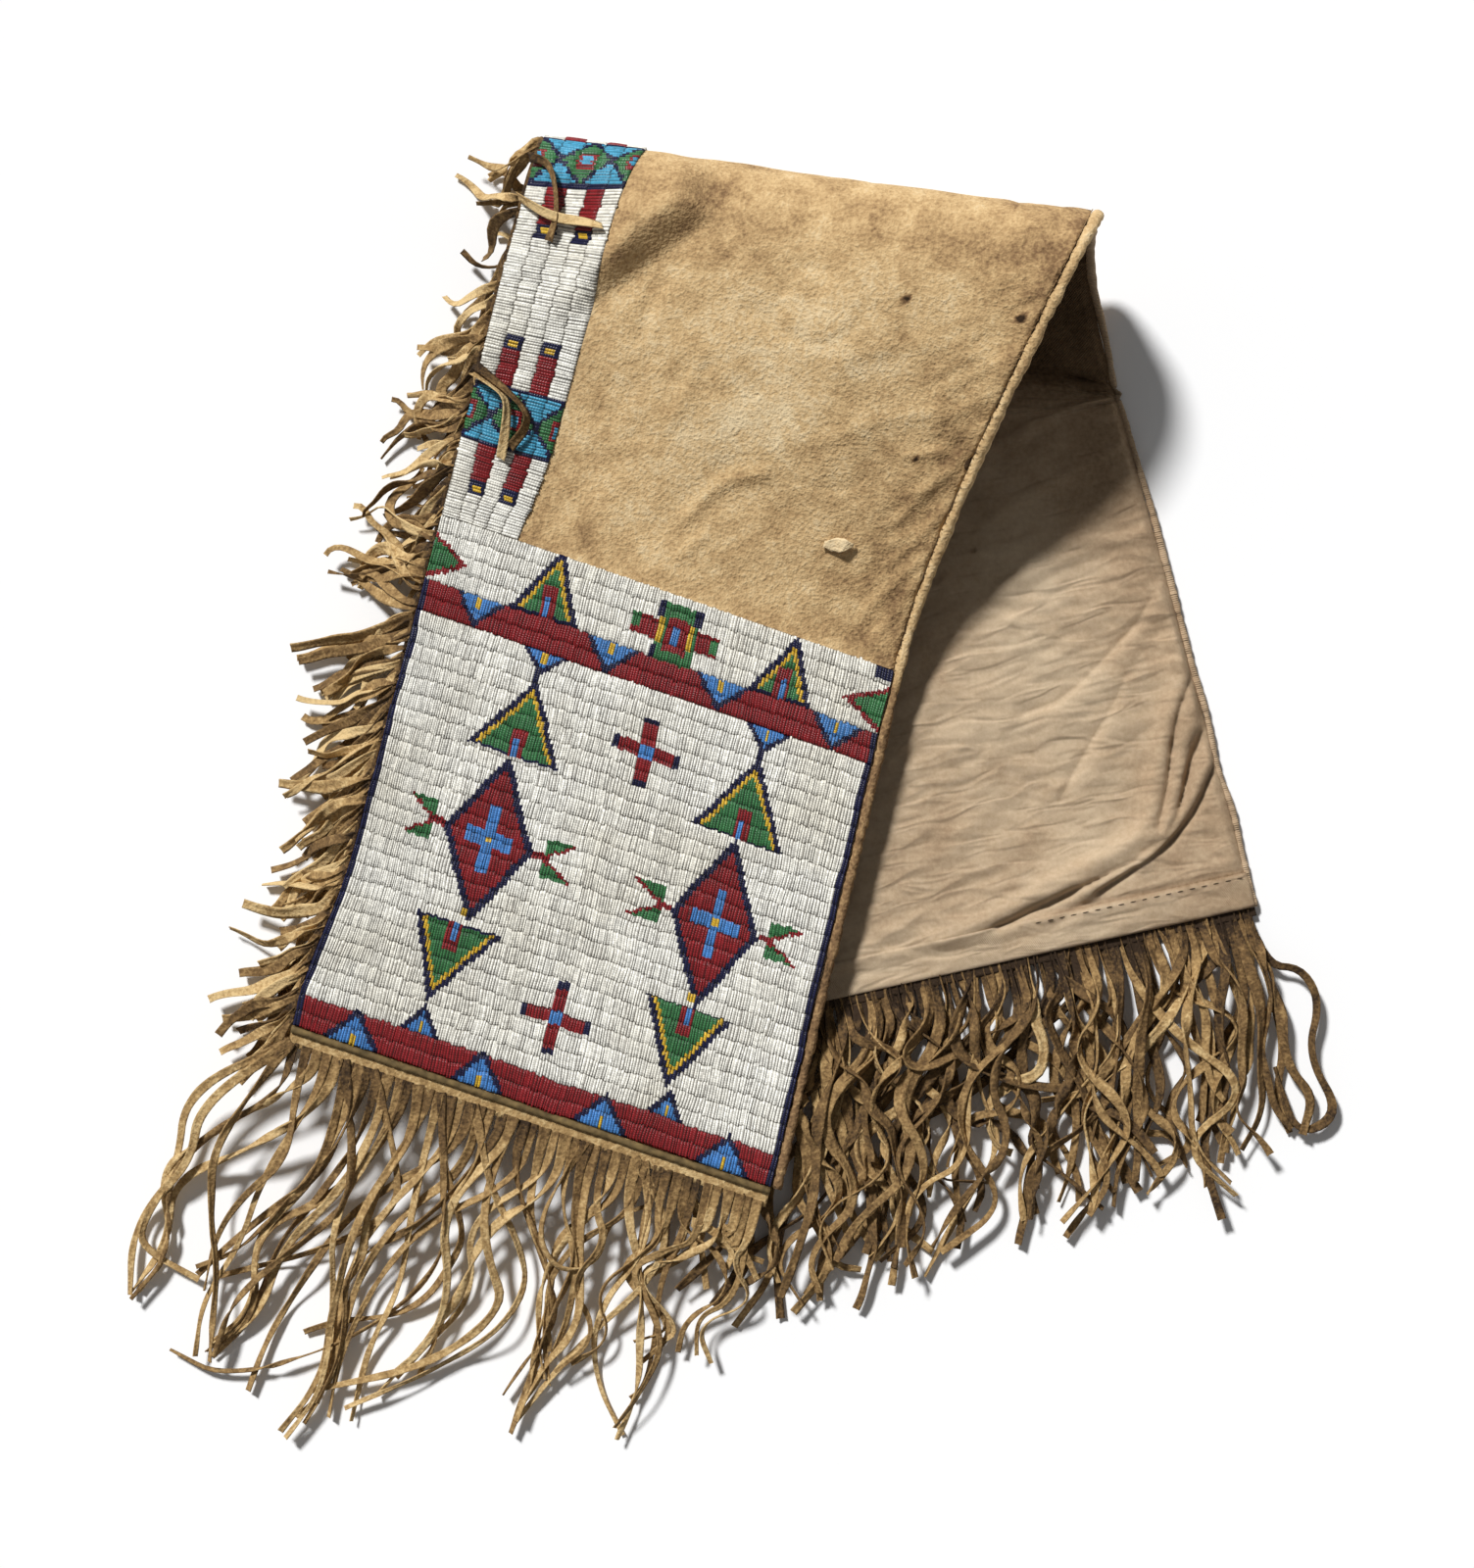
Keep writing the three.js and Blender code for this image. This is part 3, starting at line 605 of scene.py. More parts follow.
def clothLift(u, v):
    back = smooth(crestV + 20, crestV + 100, v)
    warpU = u + 12 * softNoise(u, v, 40, 34)
    warpV = v + 8 * softNoise(u, v, 33, 31) + 22 * np.sin((u - 120) / 90)
    ripples = 1.15 * softNoise(warpU * 0.3, warpV, 9.5, 32) + 0.5 * softNoise(warpU * 0.4, warpV, 5, 35)
    crumple = 0.8 * softNoise(u + v, v - u, 11, 36)
    aboveHem = bagLength - 25.5
    folds = -1.6 * crease(u, v, [(190, aboveHem), (330, aboveHem)], 1.8)
    for path, width, height, power in cloth["folds"]:
        folds = folds + 1.2 * height * crease(u, v, path, width, power)
    folds = cloth["pile"] * np.tanh(folds / cloth["pile"])  # folds that meet don't pile up
    free = smooth(0, 14, u) * smooth(0, 6, bag["width"] - u)
    free = free * (1 - 0.75 * smooth(bagLength - 24, bagLength - 12, v))
    loose = cloth["loose"] + 0.8 * (1 + softNoise(u, v, 30, 33))
    return back * free * np.maximum(loose + ripples + crumple + folds, 0)


def clothTone(u, v):
    tone = 0.47 + 0.08 * softNoise(u, v, 80, 41) + 0.07 * softNoise(u, v, 28, 42)
    tone = tone + 0.05 * softNoise(u, v, 9, 43)
    tone = tone - 0.12 * smooth(960, 860, v) - 0.04 * smooth(1060, 1140, v) - 0.13 * smooth(235, 325, u)
    tone = tone + 0.09 * smooth(215, 160, u) * smooth(1000, 1060, v) * smooth(1160, 1110, v)
    tone = tone - 0.1 * crease(u, v, [(40, 1140), (110, 1150), (150, 1120)], 14)
    # Darker toward the loop: painted shade inside the fold.
    tone = tone - 0.36 * smooth(crestV + 200, crestV + 110, v)
    # A dark line just above the back hem: painted shade in the groove of the seam.
    tone = tone - 0.3 * np.exp(-(((v - bagLength + 24.6) / 1.3) ** 2)) * smooth(185, 210, u)
    for atU, atV, size in cloth["spots"]:
        tone = tone - 0.5 * np.exp(-((np.hypot(u - atU, v - atV) / size) ** 4))
    return tone


slitLow, slitHigh, slitFrom, slitTo = cloth["slit"]
clothSheet = sheetPiece(
    "clothSheet",
    np.concatenate([np.linspace(0, slitLow, 62), np.linspace(slitHigh, bag["width"], 84)]),
    joined(
        [
            np.linspace(0, slitFrom, 16),
            np.linspace(slitFrom, slitTo, 60),
            np.linspace(slitTo, bagLength, 250),
        ]
    ),
    lambda u, v: layer["clothIn"] + sag(u, v) - clothLift(u, v),
    lambda u, v: layer["clothOut"] + sag(u, v) - clothLift(u, v),
    clothTone,
    finish["cloth"],
    lambda u, v: ~((u > slitLow) & (u < slitHigh) & (v > slitFrom) & (v < slitTo)),
)
place(clothSheet, "cotton_cloth", "cloth_back")
print("hide and cloth laid")

beadInk = {
    "white": "#F5F3EA",
    "red": "#861E23",
    "navy": "#14163A",
    "blue": "#4A84C6",
    "lightBlue": "#4BA0C4",
    "green": "#3A7446",
    "yellow": "#D8B038",
}
# Dark brown for the grooves between beads: painted shade with soil.
grooveShadeAndSoil = hexColour("#3E3222")


# Distance inside the slanted sides of a triangle, below nought outside it.
def wedge(u, v, middle, base, half, apex, lean=0.0):
    share = (v - base) / (apex - base)
    slack = (1 - share) * half - np.abs(u - middle - lean * share)
    return np.where((share < 0) | (share > 1), -1.0, slack)


def box(u, v, middle, up, halfAcross, halfUp):
    return (np.abs(u - middle) < halfAcross) & (np.abs(v - up) < halfUp)


def tipi(ink, u, v, middle, base, half, apex, lean=0.0):
    slack = wedge(u, v, middle, base, half, apex, lean)
    rise = (v - base) * np.sign(apex - base)
    offset = np.abs(u - middle - 0.15 * lean)
    ink[slack > 0] = "navy"
    ink[slack > 4.0] = "yellow"
    ink[slack > 7.2] = "green"
    ink[(slack > 0) & (rise < 1.6)] = "navy"
    ink[(offset < 5.2) & (rise > 0) & (rise < 20)] = "red"
    ink[(offset < 2.3) & (rise > 0) & (rise < 13)] = "blue"


def blueTriangle(ink, u, v, middle, base, half, apex):
    slack = wedge(u, v, middle, base, half, apex)
    rise = (v - base) * np.sign(apex - base)
    ink[slack > 0] = "navy"
    ink[slack > 4.2] = "blue"
    ink[(np.abs(u - middle) < 1.8) & (rise > 1) & (rise < 8.5)] = "yellow"


def crossMotif(ink, u, v, middle, up, reach):
    for upright in (True, False):
        halfAcross, halfUp = (4.9, reach) if upright else (reach, 4.9)
        ink[box(u, v, middle, up, halfAcross, halfUp)] = "navy"
        inner = (4.9, reach - 4.2) if upright else (reach - 4.2, 4.9)
        ink[box(u, v, middle, up, *inner)] = "red"
    ink[box(u, v, middle, up, 4.6, 4.9)] = "blue"


# Diamond with a cross in it, and a forked figure at each side.
def diamondMotif(ink, u, v, middle, up, half, tall):
    measure = np.abs(u - middle) / half + np.abs(v - up) / tall
    ink[measure < 1] = "navy"
    ink[measure < 0.84] = "red"
    ink[box(u, v, middle, up, 3.9, 23)] = "blue"
    ink[box(u, v, middle, up, 16.5, 4.6)] = "blue"
    ink[box(u, v, middle, up, 2.2, 2.4)] = "yellow"
    ink[box(u, v, middle - 4, up - tall + 6, 2.2, 2.6)] = "yellow"
    for way in (-1, 1):
        out = (u - middle) * way - half
        rise = v - up - 1.0
        ink[(out > -0.5) & (out < 11) & (np.abs(rise) < 1.9)] = "red"
        for flank in (-1, 1):
            spread = rise * flank
            prong = (out > 6.5) & (out < 28) & (spread > 0) & (spread < 12.5) & (out - 8 < spread * 1.75)
            ink[prong] = "red"
            ink[prong & (out - 8 < spread * 1.75 - 4.2) & (spread > 2.6)] = "green"


def panelInk(u, v):
    ink = np.full(u.shape, "white", dtype="<U9")
    lane = bag["laneHeight"]
    bandLow, bandHigh = 27 * lane, 29 * lane
    ink[v < 2 * lane] = "red"
    ink[(v > bandLow) & (v < bandHigh)] = "red"
    for middle, half in ((40, 20), (126, 20), (211, 20), (295, 20)):
        blueTriangle(ink, u, v, middle, -1, half, 2.35 * lane)
    for middle, half in ((48, 20), (142, 20), (220, 20), (301, 19)):
        blueTriangle(ink, u, v, middle, bandHigh, half, bandLow)
    for middle, apex in ((100, 268), (257, 267)):
        blueTriangle(ink, u, v, middle, bandLow, 16, apex)
    for middle, apex in ((81, 41), (251, 40)):
        blueTriangle(ink, u, v, middle, 2 * lane, 14, apex)
    tipi(ink, u, v, 92, bandHigh, 24, 351, 3)
    tipi(ink, u, v, 259, bandHigh, 22, 348, 4)
    tipi(ink, u, v, 96, 212, 32, 266, 3)
    tipi(ink, u, v, 254, 209, 32, 263, 2)
    for middle, up in ((98.5, 265.5), (256.5, 263.5)):
        ink[box(u, v, middle, up, 2.1, 4.5)] = "navy"
    tipi(ink, u, v, 89, 99, 30, 43, -8)
    tipi(ink, u, v, 250, 96, 30, 40, -3)
    diamondMotif(ink, u, v, 94, 156.5, 31, 56)
    diamondMotif(ink, u, v, 253, 152, 31, 57)
    crossMotif(ink, u, v, 181, 243, 22.5)
    crossMotif(ink, u, v, 166, 59, 23.5)
    # The figure over the upper band: block, box and two arms.
    for name, *block in (
        ("red", 181, 322, 32, 5.5),
        ("green", 152.5, 324, 3.4, 4),
        ("green", 209.5, 322, 3.4, 4),
        ("green", 181.5, 322, 14, 18),
        ("navy", 168, 335, 2.2, 5),
        ("navy", 195, 335, 2.2, 5),
        ("navy", 168, 308, 2.2, 4),
        ("yellow", 170.5, 322, 2.3, 7.5),
        ("yellow", 192.5, 322, 2.3, 7.5),
        ("red", 181.5, 321, 7.6, 10),
        ("blue", 181.5, 321, 3.4, 6),
    ):
        ink[box(u, v, *block)] = name
    # Half figures cut by the side edges.
    for edge, inward in ((0, 1), (bag["width"], -1)):
        out = (u - edge) * inward
        slack = 30 - out - np.abs(v - 320) * 2.0
        ink[slack > 0] = "red"
        ink[slack > 6.5] = "green"
    ink[box(u, v, 324, 343, 6.5, 4)] = "navy"
    ink[((u < 4.2) | (u > bag["width"] - 4.2)) & (v < bandHigh)] = "navy"
    return ink


# Bead strip from panel to panel; a figure is a band of diamonds with a pair of bars above and below it.
strip = {
    "width": 62.0,
    "lanes": 5,
    "rows": 245,
    "figures": (429.0, 626.0, 2 * crestV - 560.0, 2 * crestV - 380.0),
}


def stripInk(v, u):
    ink = np.full(u.shape, "white", dtype="<U9")
    for centre in strip["figures"]:
        rise = np.abs(v - centre)
        for lane in (1.5, 3.5):
            offset = np.abs(u - lane * strip["width"] / strip["lanes"])
            bar = offset < 6.1
            ink[bar & (rise < 62)] = "navy"
            ink[bar & (rise < 58) & (offset < 4.3)] = "yellow"
            ink[bar & (rise < 54)] = "navy"
            ink[bar & (rise < 51)] = "red"
        band = rise < 20
        share = np.abs((u / 31 + 0.5) % 1 - 0.5)
        offset = share * 31
        measure = share * 2 + rise / 20
        ink[band] = "lightBlue"
        ink[band & (measure < 1.12)] = "navy"
        ink[band & (measure < 0.92)] = "green"
        ink[band & (offset < 5.2) & (rise < 7.5)] = "red"
        ink[band & (offset < 2.8) & (rise < 4.5)] = "lightBlue"
        ink[(rise < 22.5) & ~band] = "navy"
    return ink


# Lane stitch: short rows of beads side by side in lanes, each row a ridge and each lane a low arch.
laneStitch = {
    "wander": 0.13,  # of rows, in shares of a row
    "drift": 0.5,
    "uneven": 0.045,  # of lane ends, in shares of a lane
    "slack": 0.1,
    "plump": 0.13,
    "trench": 0.3,  # height left between lanes and between rows
    "valley": 0.2,
    "beadShade": 0.12,
    "rowShade": 0.06,
}
fine = {"columns": (0, 0.34, 0.66), "cells": (0, 0.06, 0.24, 0.41, 0.59, 0.76, 0.94)}
plain = {"columns": (0, 0.5), "cells": (0, 0.5)}


def beadPiece(name, rowStops, laneStops, mesh, lay, inkOf, seed, top):
    columns, cells = mesh["columns"], mesh["cells"]
    perLane = len(cells)
    draw = np.random.default_rng(seed)
    rowCount, laneCount, cut = len(rowStops) - 1, len(laneStops) - 1, len(columns)
    rowPitch, laneWide = rowStops[1] - rowStops[0], laneStops[1] - laneStops[0]
    r = np.arange(cut * rowCount + 1)
    b = np.arange(laneCount * perLane + 1)
    row = np.minimum(r // cut, rowCount - 1)
    lane = np.minimum(b // perLane, laneCount - 1)
    valley = (r % cut == 0)[:, None]
    rowAt = np.interp(r // cut + np.array(columns)[r % cut], np.arange(rowCount + 1), rowStops)[:, None]
    within = np.array(cells)[b % perLane]
    laneAt = np.interp(b // perLane + within, np.arange(laneCount + 1), laneStops)[None, :]
    trench = (b % perLane == 0)[None, :]
    arch = (1 - np.abs(2 * within - 1) ** 2)[None, :]
    inside = ((r > 0) & (r < r[-1]))[:, None] & ((b > 0) & (b < b[-1]))[None, :]
    # Rows wander a little from lane to lane, and lane ends are uneven.
    rowShift = (draw.normal(0, laneStitch["wander"], (rowCount, laneCount)) * rowPitch)[row][:, lane]
    rowShift = rowShift + softNoise(rowAt, laneAt, 22, seed + 5) * laneStitch["drift"] * rowPitch
    uneven = draw.normal(0, laneStitch["uneven"], (rowCount, 1))[row]
    uneven = uneven + softNoise(rowAt, laneAt, 34, seed + 1) * laneStitch["slack"]
    across = rowAt + rowShift * inside
    up = laneAt + uneven * laneWide * inside
    plump = 1 + laneStitch["plump"] * draw.normal(0, 1, (rowCount, laneCount))
    rise = np.where(trench, laneStitch["trench"], 0.9 + 0.1 * arch)
    rise = rise * np.where(valley, laneStitch["valley"], 1.0) * np.clip(plump, 0.65, 1.12)[row][:, lane]
    height = layer["beadIn"] + (top - layer["beadIn"]) * np.where(inside, rise, 0.0)
    vertices = lay(across, up, height)
    faces = gridFaces(len(r), len(b))
    step = vertices[:2, :2]
    outward = lay(across[:2, :2], up[:2, :2], height[:2, :2] + 1)[0, 0] - step[0, 0]
    if np.cross(step[0, 1] - step[0, 0], step[1, 0] - step[0, 0]).dot(outward) < 0:
        faces = faces[:, ::-1]
    piece = newObject(name, vertices.reshape(-1, 3), faces.tolist(), finish["beads"])
    # One ink for each bead, a little off its neighbour, soiled bead by bead; the grooves between rows and
    # between lanes get painted shade with soil.
    beadRow = (rowStops[:-1] + rowStops[1:])[:, None] / 2
    beadUp = (laneAt[:, :-1] + laneAt[:, 1:]) / 2
    names = inkOf(*np.broadcast_arrays(beadRow, beadUp))
    colours = np.zeros(names.shape + (3,))
    for key, value in beadInk.items():
        colours[names == key] = hexColour(value)[:3]
    colours *= np.clip(draw.normal(1, laneStitch["beadShade"], names.shape), 0.7, 1.25)[..., None]
    rowShade = np.clip(draw.normal(1, laneStitch["rowShade"], (rowCount, laneCount)), 0.8, 1.1)
    colours *= np.repeat(rowShade, perLane, 1)[..., None]
    soil = 0.06 + 0.10 * softNoise(beadRow, beadUp, 60, seed + 2)
    soil = soil + 0.05 * softNoise(beadRow, beadUp, 15, seed + 3)
    colours *= 1 - np.clip(soil, 0, 0.4)[..., None] * np.array([0.6, 0.72, 1.0])
    perFace = np.repeat(colours, cut, 0).reshape(-1, 1, 3)
    # Painted shade with soil: deepest in the valleys between rows and the trenches between lanes.
    depth = np.where(valley, 0.95, 0.0) + np.where(trench, 0.8, 0.0)
    depth = depth * draw.uniform(0.35, 1.35, (rowCount, laneCount))[row][:, lane]
    depth = np.clip(depth * (1 + 0.4 * softNoise(rowAt, laneAt, 9, seed + 4)), 0, 0.95)
    depth = depth.ravel()[faces][..., None]
    ink = perFace * (1 - depth) + np.array(grooveShadeAndSoil[:3]) * perFace.mean(2, keepdims=True) * depth
    ink = np.concatenate([ink, np.ones(ink.shape[:2] + (1,))], 2)
    piece.data.color_attributes.new("ink", "FLOAT_COLOR", "CORNER").data.foreach_set("color", ink.ravel())
    addMap(piece, "beads", np.repeat(r / cut, len(b)), np.tile((b // perLane + within) * 7.0, len(r)))
    return piece


def layFront(across, up, height):
    return onBag(across, up, height + sag(across, up))


def layBack(across, up, height):
    return onBag(bag["width"] - across, bagLength - up, height + sag(bag["width"] - across, bagLength - up))


def layStrip(down, across, height):
    return onBag(across, down, height + sag(across, down))


laneStops = np.linspace(0, panelLength, bag["panelLanes"] + 1)
rowStops = np.linspace(0, bag["width"], 166)
fieldLanes = 27
fieldBeadwork = beadPiece(
    "fieldBeadwork", rowStops, laneStops[: fieldLanes + 1], fine, layFront, panelInk, 51, layer["beadOut"]
)
place(
    fieldBeadwork,
    "white_beads",
    "front_upper_left_tipi",
    "front_upper_right_tipi",
    "front_left_diamond",
    "front_right_diamond",
    "front_lower_left_tipi",
    "front_lower_right_tipi",
    "front_upper_cross",
    "front_lower_cross",
    "front_white_field",
    "front_lower_red_band",
    "front_left_navy_row",
    "front_right_navy_row",
)
topBeadwork = beadPiece(
    "topBeadwork", rowStops, laneStops[fieldLanes:], fine, layFront, panelInk, 56, layer["beadOut"]
)
place(topBeadwork, "white_beads", "front_upper_red_band", "front_top_white_field")
backBeadwork = beadPiece("backBeadwork", rowStops, laneStops, plain, layBack, panelInk, 61, layer["beadOut"])
place(
    backBeadwork,
    "white_beads",
    "back_left_diamond",
    "back_right_diamond",
    "back_white_field",
    "back_lower_red_band",
    "back_upper_red_band",
    "back_top_white_field",
    "back_left_navy_row",
    "back_right_navy_row",
)
sideBeadStrip = beadPiece(
    "sideBeadStrip",
    np.linspace(breaks[1], breaks[4], strip["rows"] + 1),
    np.linspace(0, strip["width"], strip["lanes"] + 1),
    fine,
    layStrip,
    stripInk,
    71,
    layer["stripOut"],
)
place(sideBeadStrip, "white_beads", "side_bead_strip")
print("beads sewn")


# A closed bar: one section of (u, v, w) points carried along the pattern.
def barPiece(name, sections, material):
    vertices = onBag(sections[..., 0], sections[..., 1], sections[..., 2])
    stops, around = vertices.shape[:2]
    index = np.arange(stops * around).reshape(stops, around)
    turned = np.roll(index, -1, 1)
    faces = np.stack([index[:-1], turned[:-1], turned[1:], index[1:]], -1).reshape(-1, 4).tolist()
    faces += [index[0, ::-1].tolist(), index[-1].tolist()]
    piece = newObject(name, vertices.reshape(-1, 3), faces, material)
    work = bmesh.new()
    work.from_mesh(piece.data)
    bmesh.ops.recalc_face_normals(work, faces=work.faces)
    work.to_mesh(piece.data)
    work.free()
    return piece


# Rolled edge down the open side.
roll = {"radius": 3.6, "flat": 3.4, "nip": 9.5, "sides": 12, "stops": 420}
rollV = np.linspace(0, bagLength, roll["stops"])[:, None]
rollTurn = np.linspace(0, 2 * np.pi, roll["sides"], endpoint=False)[None, :]
rollPlump = 1 + 0.14 * softNoise(rollV, rollV * 0, 14, 81) + 0.1 * softNoise(rollV, rollTurn * 8, 5, 82)
nips = np.pi * rollV / roll["nip"] + 2 * softNoise(rollV, 0 * rollV, 30, 85)
rollPlump = rollPlump - 0.2 * np.abs(np.sin(nips)) ** 8
slim = 1 - 0.35 * smooth(crestV, crestV + 90, rollV)
rollOut = bag["width"] + 0.3 + roll["radius"] * slim
rollOut = rollOut + (1 - slim) * (5 * softNoise(rollV, 0 * rollV, 34, 84) - 4)
rollU = rollOut + roll["radius"] * slim * rollPlump * np.cos(rollTurn)
rollW = sag(bag["width"], rollV) * 0.9 + roll["flat"] * np.minimum(slim * rollPlump, 1.05) * np.sin(rollTurn)
edgeRoll = barPiece("edgeRoll", np.stack(np.broadcast_arrays(rollU, rollV, rollW), -1), finish["hide"])
rollTone = 0.1 * softNoise(rollV, rollTurn * 6, 20, 83)
rollTone = rollTone - 0.34 * smooth(panelLength, panelLength - 20, rollV)
rollTone = rollTone + 0.32 * smooth(crestV - 1, crestV, rollV)
addTone(edgeRoll, rollTone.ravel())
# Down the back half it is the cloth that is rolled.
edgeRoll.data.materials.append(finish["cloth"])
faceStop = np.minimum(np.arange(len(edgeRoll.data.polygons)) // roll["sides"], roll["stops"] - 2)
edgeRoll.data.polygons.foreach_set("material_index", (rollV[faceStop, 0] > crestV).astype(int))
addMap(edgeRoll, "pattern", np.repeat(3.3, rollTone.size), np.repeat(rollV[:, 0] / 100, roll["sides"]))
place(edgeRoll, "cotton_cloth", "edge_roll")


# Turned hems of the cloth, puckered where the stitches draw.
hem = {"front": 19.0, "back": 24.0, "inset": 0.3, "stitched": 21.0, "stitchShare": 0.127}


def hemTone(u, v):
    return clothTone(u, v) + 0.04 + 0.05 * softNoise(u, v, 12, 91)


def hemLie(u, v):
    drawn = 1.3 * softNoise(u, 0.2 * v, 6, 92) + 0.9 * softNoise(u, v, 18, 93)
    return sag(u, v) - clothLift(u, v) * 1.02 - smooth(140, 220, u) * (0.6 + 0.5 * drawn)


# Thickness of a hem, by its share of the way across the turned strip.
def hemBulge(u, share):
    return 0.3 + smooth(100, 220, u) * (0.7 + 2.3 * np.sin(np.pi * share) ** 0.7)


def hemPiece(name, low, high):
    return sheetPiece(
        name,
        np.linspace(hem["inset"], bag["width"] - hem["inset"], 160),
        np.linspace(low, high, 11),
        lambda u, v: layer["hemIn"] + hemLie(u, v),
        lambda u, v: layer["hemIn"] - hemBulge(u, (v - low) / (high - low)) + hemLie(u, v),
        hemTone,
        finish["cloth"],
    )


frontHemBand = hemPiece("frontHemBand", hem["inset"], hem["front"])
place(frontHemBand, "cotton_cloth", "front_hem_band")
backHemBand = hemPiece("backHemBand", bagLength - hem["back"], bagLength - hem["inset"])
place(backHemBand, "cotton_cloth", "back_hem_band")


# Welts: a dark roll over the roots of the end fringe, nipped by the stitches; its height and half thickness.
welt = {"out": -2.7, "reach": 2.3, "nip": 6.5, "front": (2.7, 1.9), "back": (2.2, 1.3)}


def weltPiece(name, back):
    u = np.linspace(0.2, bag["width"] - 0.2, 160)[:, None]
    turn = np.linspace(0, 2 * np.pi, 10, endpoint=False)[None, :]
    nip = 1 - 0.16 * np.abs(np.sin(np.pi * u / welt["nip"])) ** 8 + 0.08 * softNoise(u, turn * 3, 9, 95)
    out = welt["out"] + welt["reach"] * np.cos(turn) * nip
    height, half = welt["back" if back else "front"]
    up = height + half * np.sin(turn) * nip
    v = bagLength - out if back else out
    return barPiece(name, np.stack(np.broadcast_arrays(u, v, up + sag(u, v)), -1), finish["welt"])


frontWelt = place(weltPiece("frontWelt", False), "dark_hide", "front_end_welt")
backWelt = place(weltPiece("backWelt", True), "dark_hide", "back_end_welt")

# Tie tab: a scrap of hide caught at one end, the other end lifted.
tab = {"across": 270.0, "up": 408.0, "length": 19.0, "width": 9.0}


def tabHeight(u, v):
    reach = (u - tab["across"]) / tab["length"] + 0.5
    curl = 3.4 * smooth(0.25, 0.8, reach) - 1.6 * smooth(0.75, 1.0, reach)
    return layer["hideOut"] + sag(u, v) + 0.9 + curl + 0.5 * softNoise(u, v, 5, 98)


# Cut narrow at the knot and to a blunt point at the free end.
def tabOutline(u, v):
    reach = (u - tab["across"]) / tab["length"] + 0.5
    narrow = 0.45 + 0.55 * smooth(0, 0.4, reach) - 0.7 * smooth(0.6, 1.0, reach)
    return u, tab["up"] + (v - tab["up"]) * narrow + 4.5 * (reach - 0.5)


thongTab = sheetPiece(
    "thongTab",
    np.linspace(tab["across"] - tab["length"] / 2, tab["across"] + tab["length"] / 2, 16),
    np.linspace(tab["up"] - tab["width"] / 2, tab["up"] + tab["width"] / 2, 9),
    lambda u, v: tabHeight(u, v) + 1.3,
    tabHeight,
    lambda u, v: 0.32 + 0.05 * softNoise(u, v, 6, 97),
    finish["hide"],
    warp=tabOutline,
)
place(thongTab, "tanned_hide", "thong_tab")
print("edges, hems and tab made")


# A node group with named inputs and one result.
def newGroup(name, inputs):
    group = bpy.data.node_groups.new(name, "GeometryNodeTree")
    sockets = {}
    kinds = {"Geometry": "Geometry", **inputs, "Material": "Material", "Result": "Geometry"}
    for label, kind in kinds.items():
        way = "OUTPUT" if label == "Result" else "INPUT"
        made = group.interface.new_socket(label, in_out=way, socket_type="NodeSocket" + kind)
        sockets[label] = made.identifier
    return group, sockets, addNode(group, "NodeGroupInput").outputs


def endGroup(group, body, material):
    plain = addNode(group, "GeometryNodeRealizeInstances", {"Geometry": body})
    painted = addNode(group, "GeometryNodeSetMaterial", {"Geometry": plain.outputs[0], "Material": material})
    addNode(group, "NodeGroupOutput", {"Result": painted.outputs[0]})


# Thongs cut from sheet: a flat bar along each line, with a tone for each strand and its reach from the root.
def thongGroup():
    sizes = dict.fromkeys(("Width", "Thickness", "Curl", "Tone Low", "Tone High"), "Float")
    group, sockets, given = newGroup("thongAlongLine", {**sizes, "Seed": "Int"})
    chanceLinks = {"Min": given["Tone Low"], "Max": given["Tone High"], "Seed": given["Seed"]}
    chance = addNode(group, "FunctionNodeRandomValue", chanceLinks, data_type="FLOAT").outputs[1]
    reach = addNode(group, "GeometryNodeSplineParameter").outputs["Factor"]
    line = given["Geometry"]
    for name, value, domain in (("strandTone", chance, "CURVE"), ("strandReach", reach, "POINT")):
        stored = {"Geometry": line, "Name": name, "Value": value}
        kept = addNode(group, "GeometryNodeStoreNamedAttribute", stored, data_type="FLOAT", domain=domain)
        line = kept.outputs[0]
    flat = {"Width": given["Width"], "Height": given["Thickness"]}
    outline = addNode(group, "GeometryNodeCurvePrimitiveQuadrilateral", flat).outputs[0]
    # The edges of a strand curl up from its middle.
    around = {"Curve": outline, "Count": 10}
    even = addNode(group, "GeometryNodeResampleCurve", around, mode="COUNT").outputs[0]
    spot = addNode(group, "GeometryNodeInputPosition").outputs[0]
    aside = addNode(group, "ShaderNodeSeparateXYZ", {"Vector": spot}).outputs["X"]
    square = addNode(group, "ShaderNodeMath", {0: aside, 1: aside}, operation="MULTIPLY").outputs[0]
    lifted = addNode(group, "ShaderNodeMath", {0: square, 1: given["Curl"]}, operation="MULTIPLY").outputs[0]
    shift = addNode(group, "ShaderNodeCombineXYZ", {"Y": lifted}).outputs[0]
    curled = addNode(group, "GeometryNodeSetPosition", {"Geometry": even, "Offset": shift}).outputs[0]
    radius = addNode(group, "GeometryNodeInputRadius").outputs[0]
    bodyLinks = {"Curve": line, "Profile Curve": curled, "Scale": radius, "Fill Caps": True}
    body = addNode(group, "GeometryNodeCurveToMesh", bodyLinks).outputs[0]
    endGroup(group, body, given["Material"])
    return group, sockets


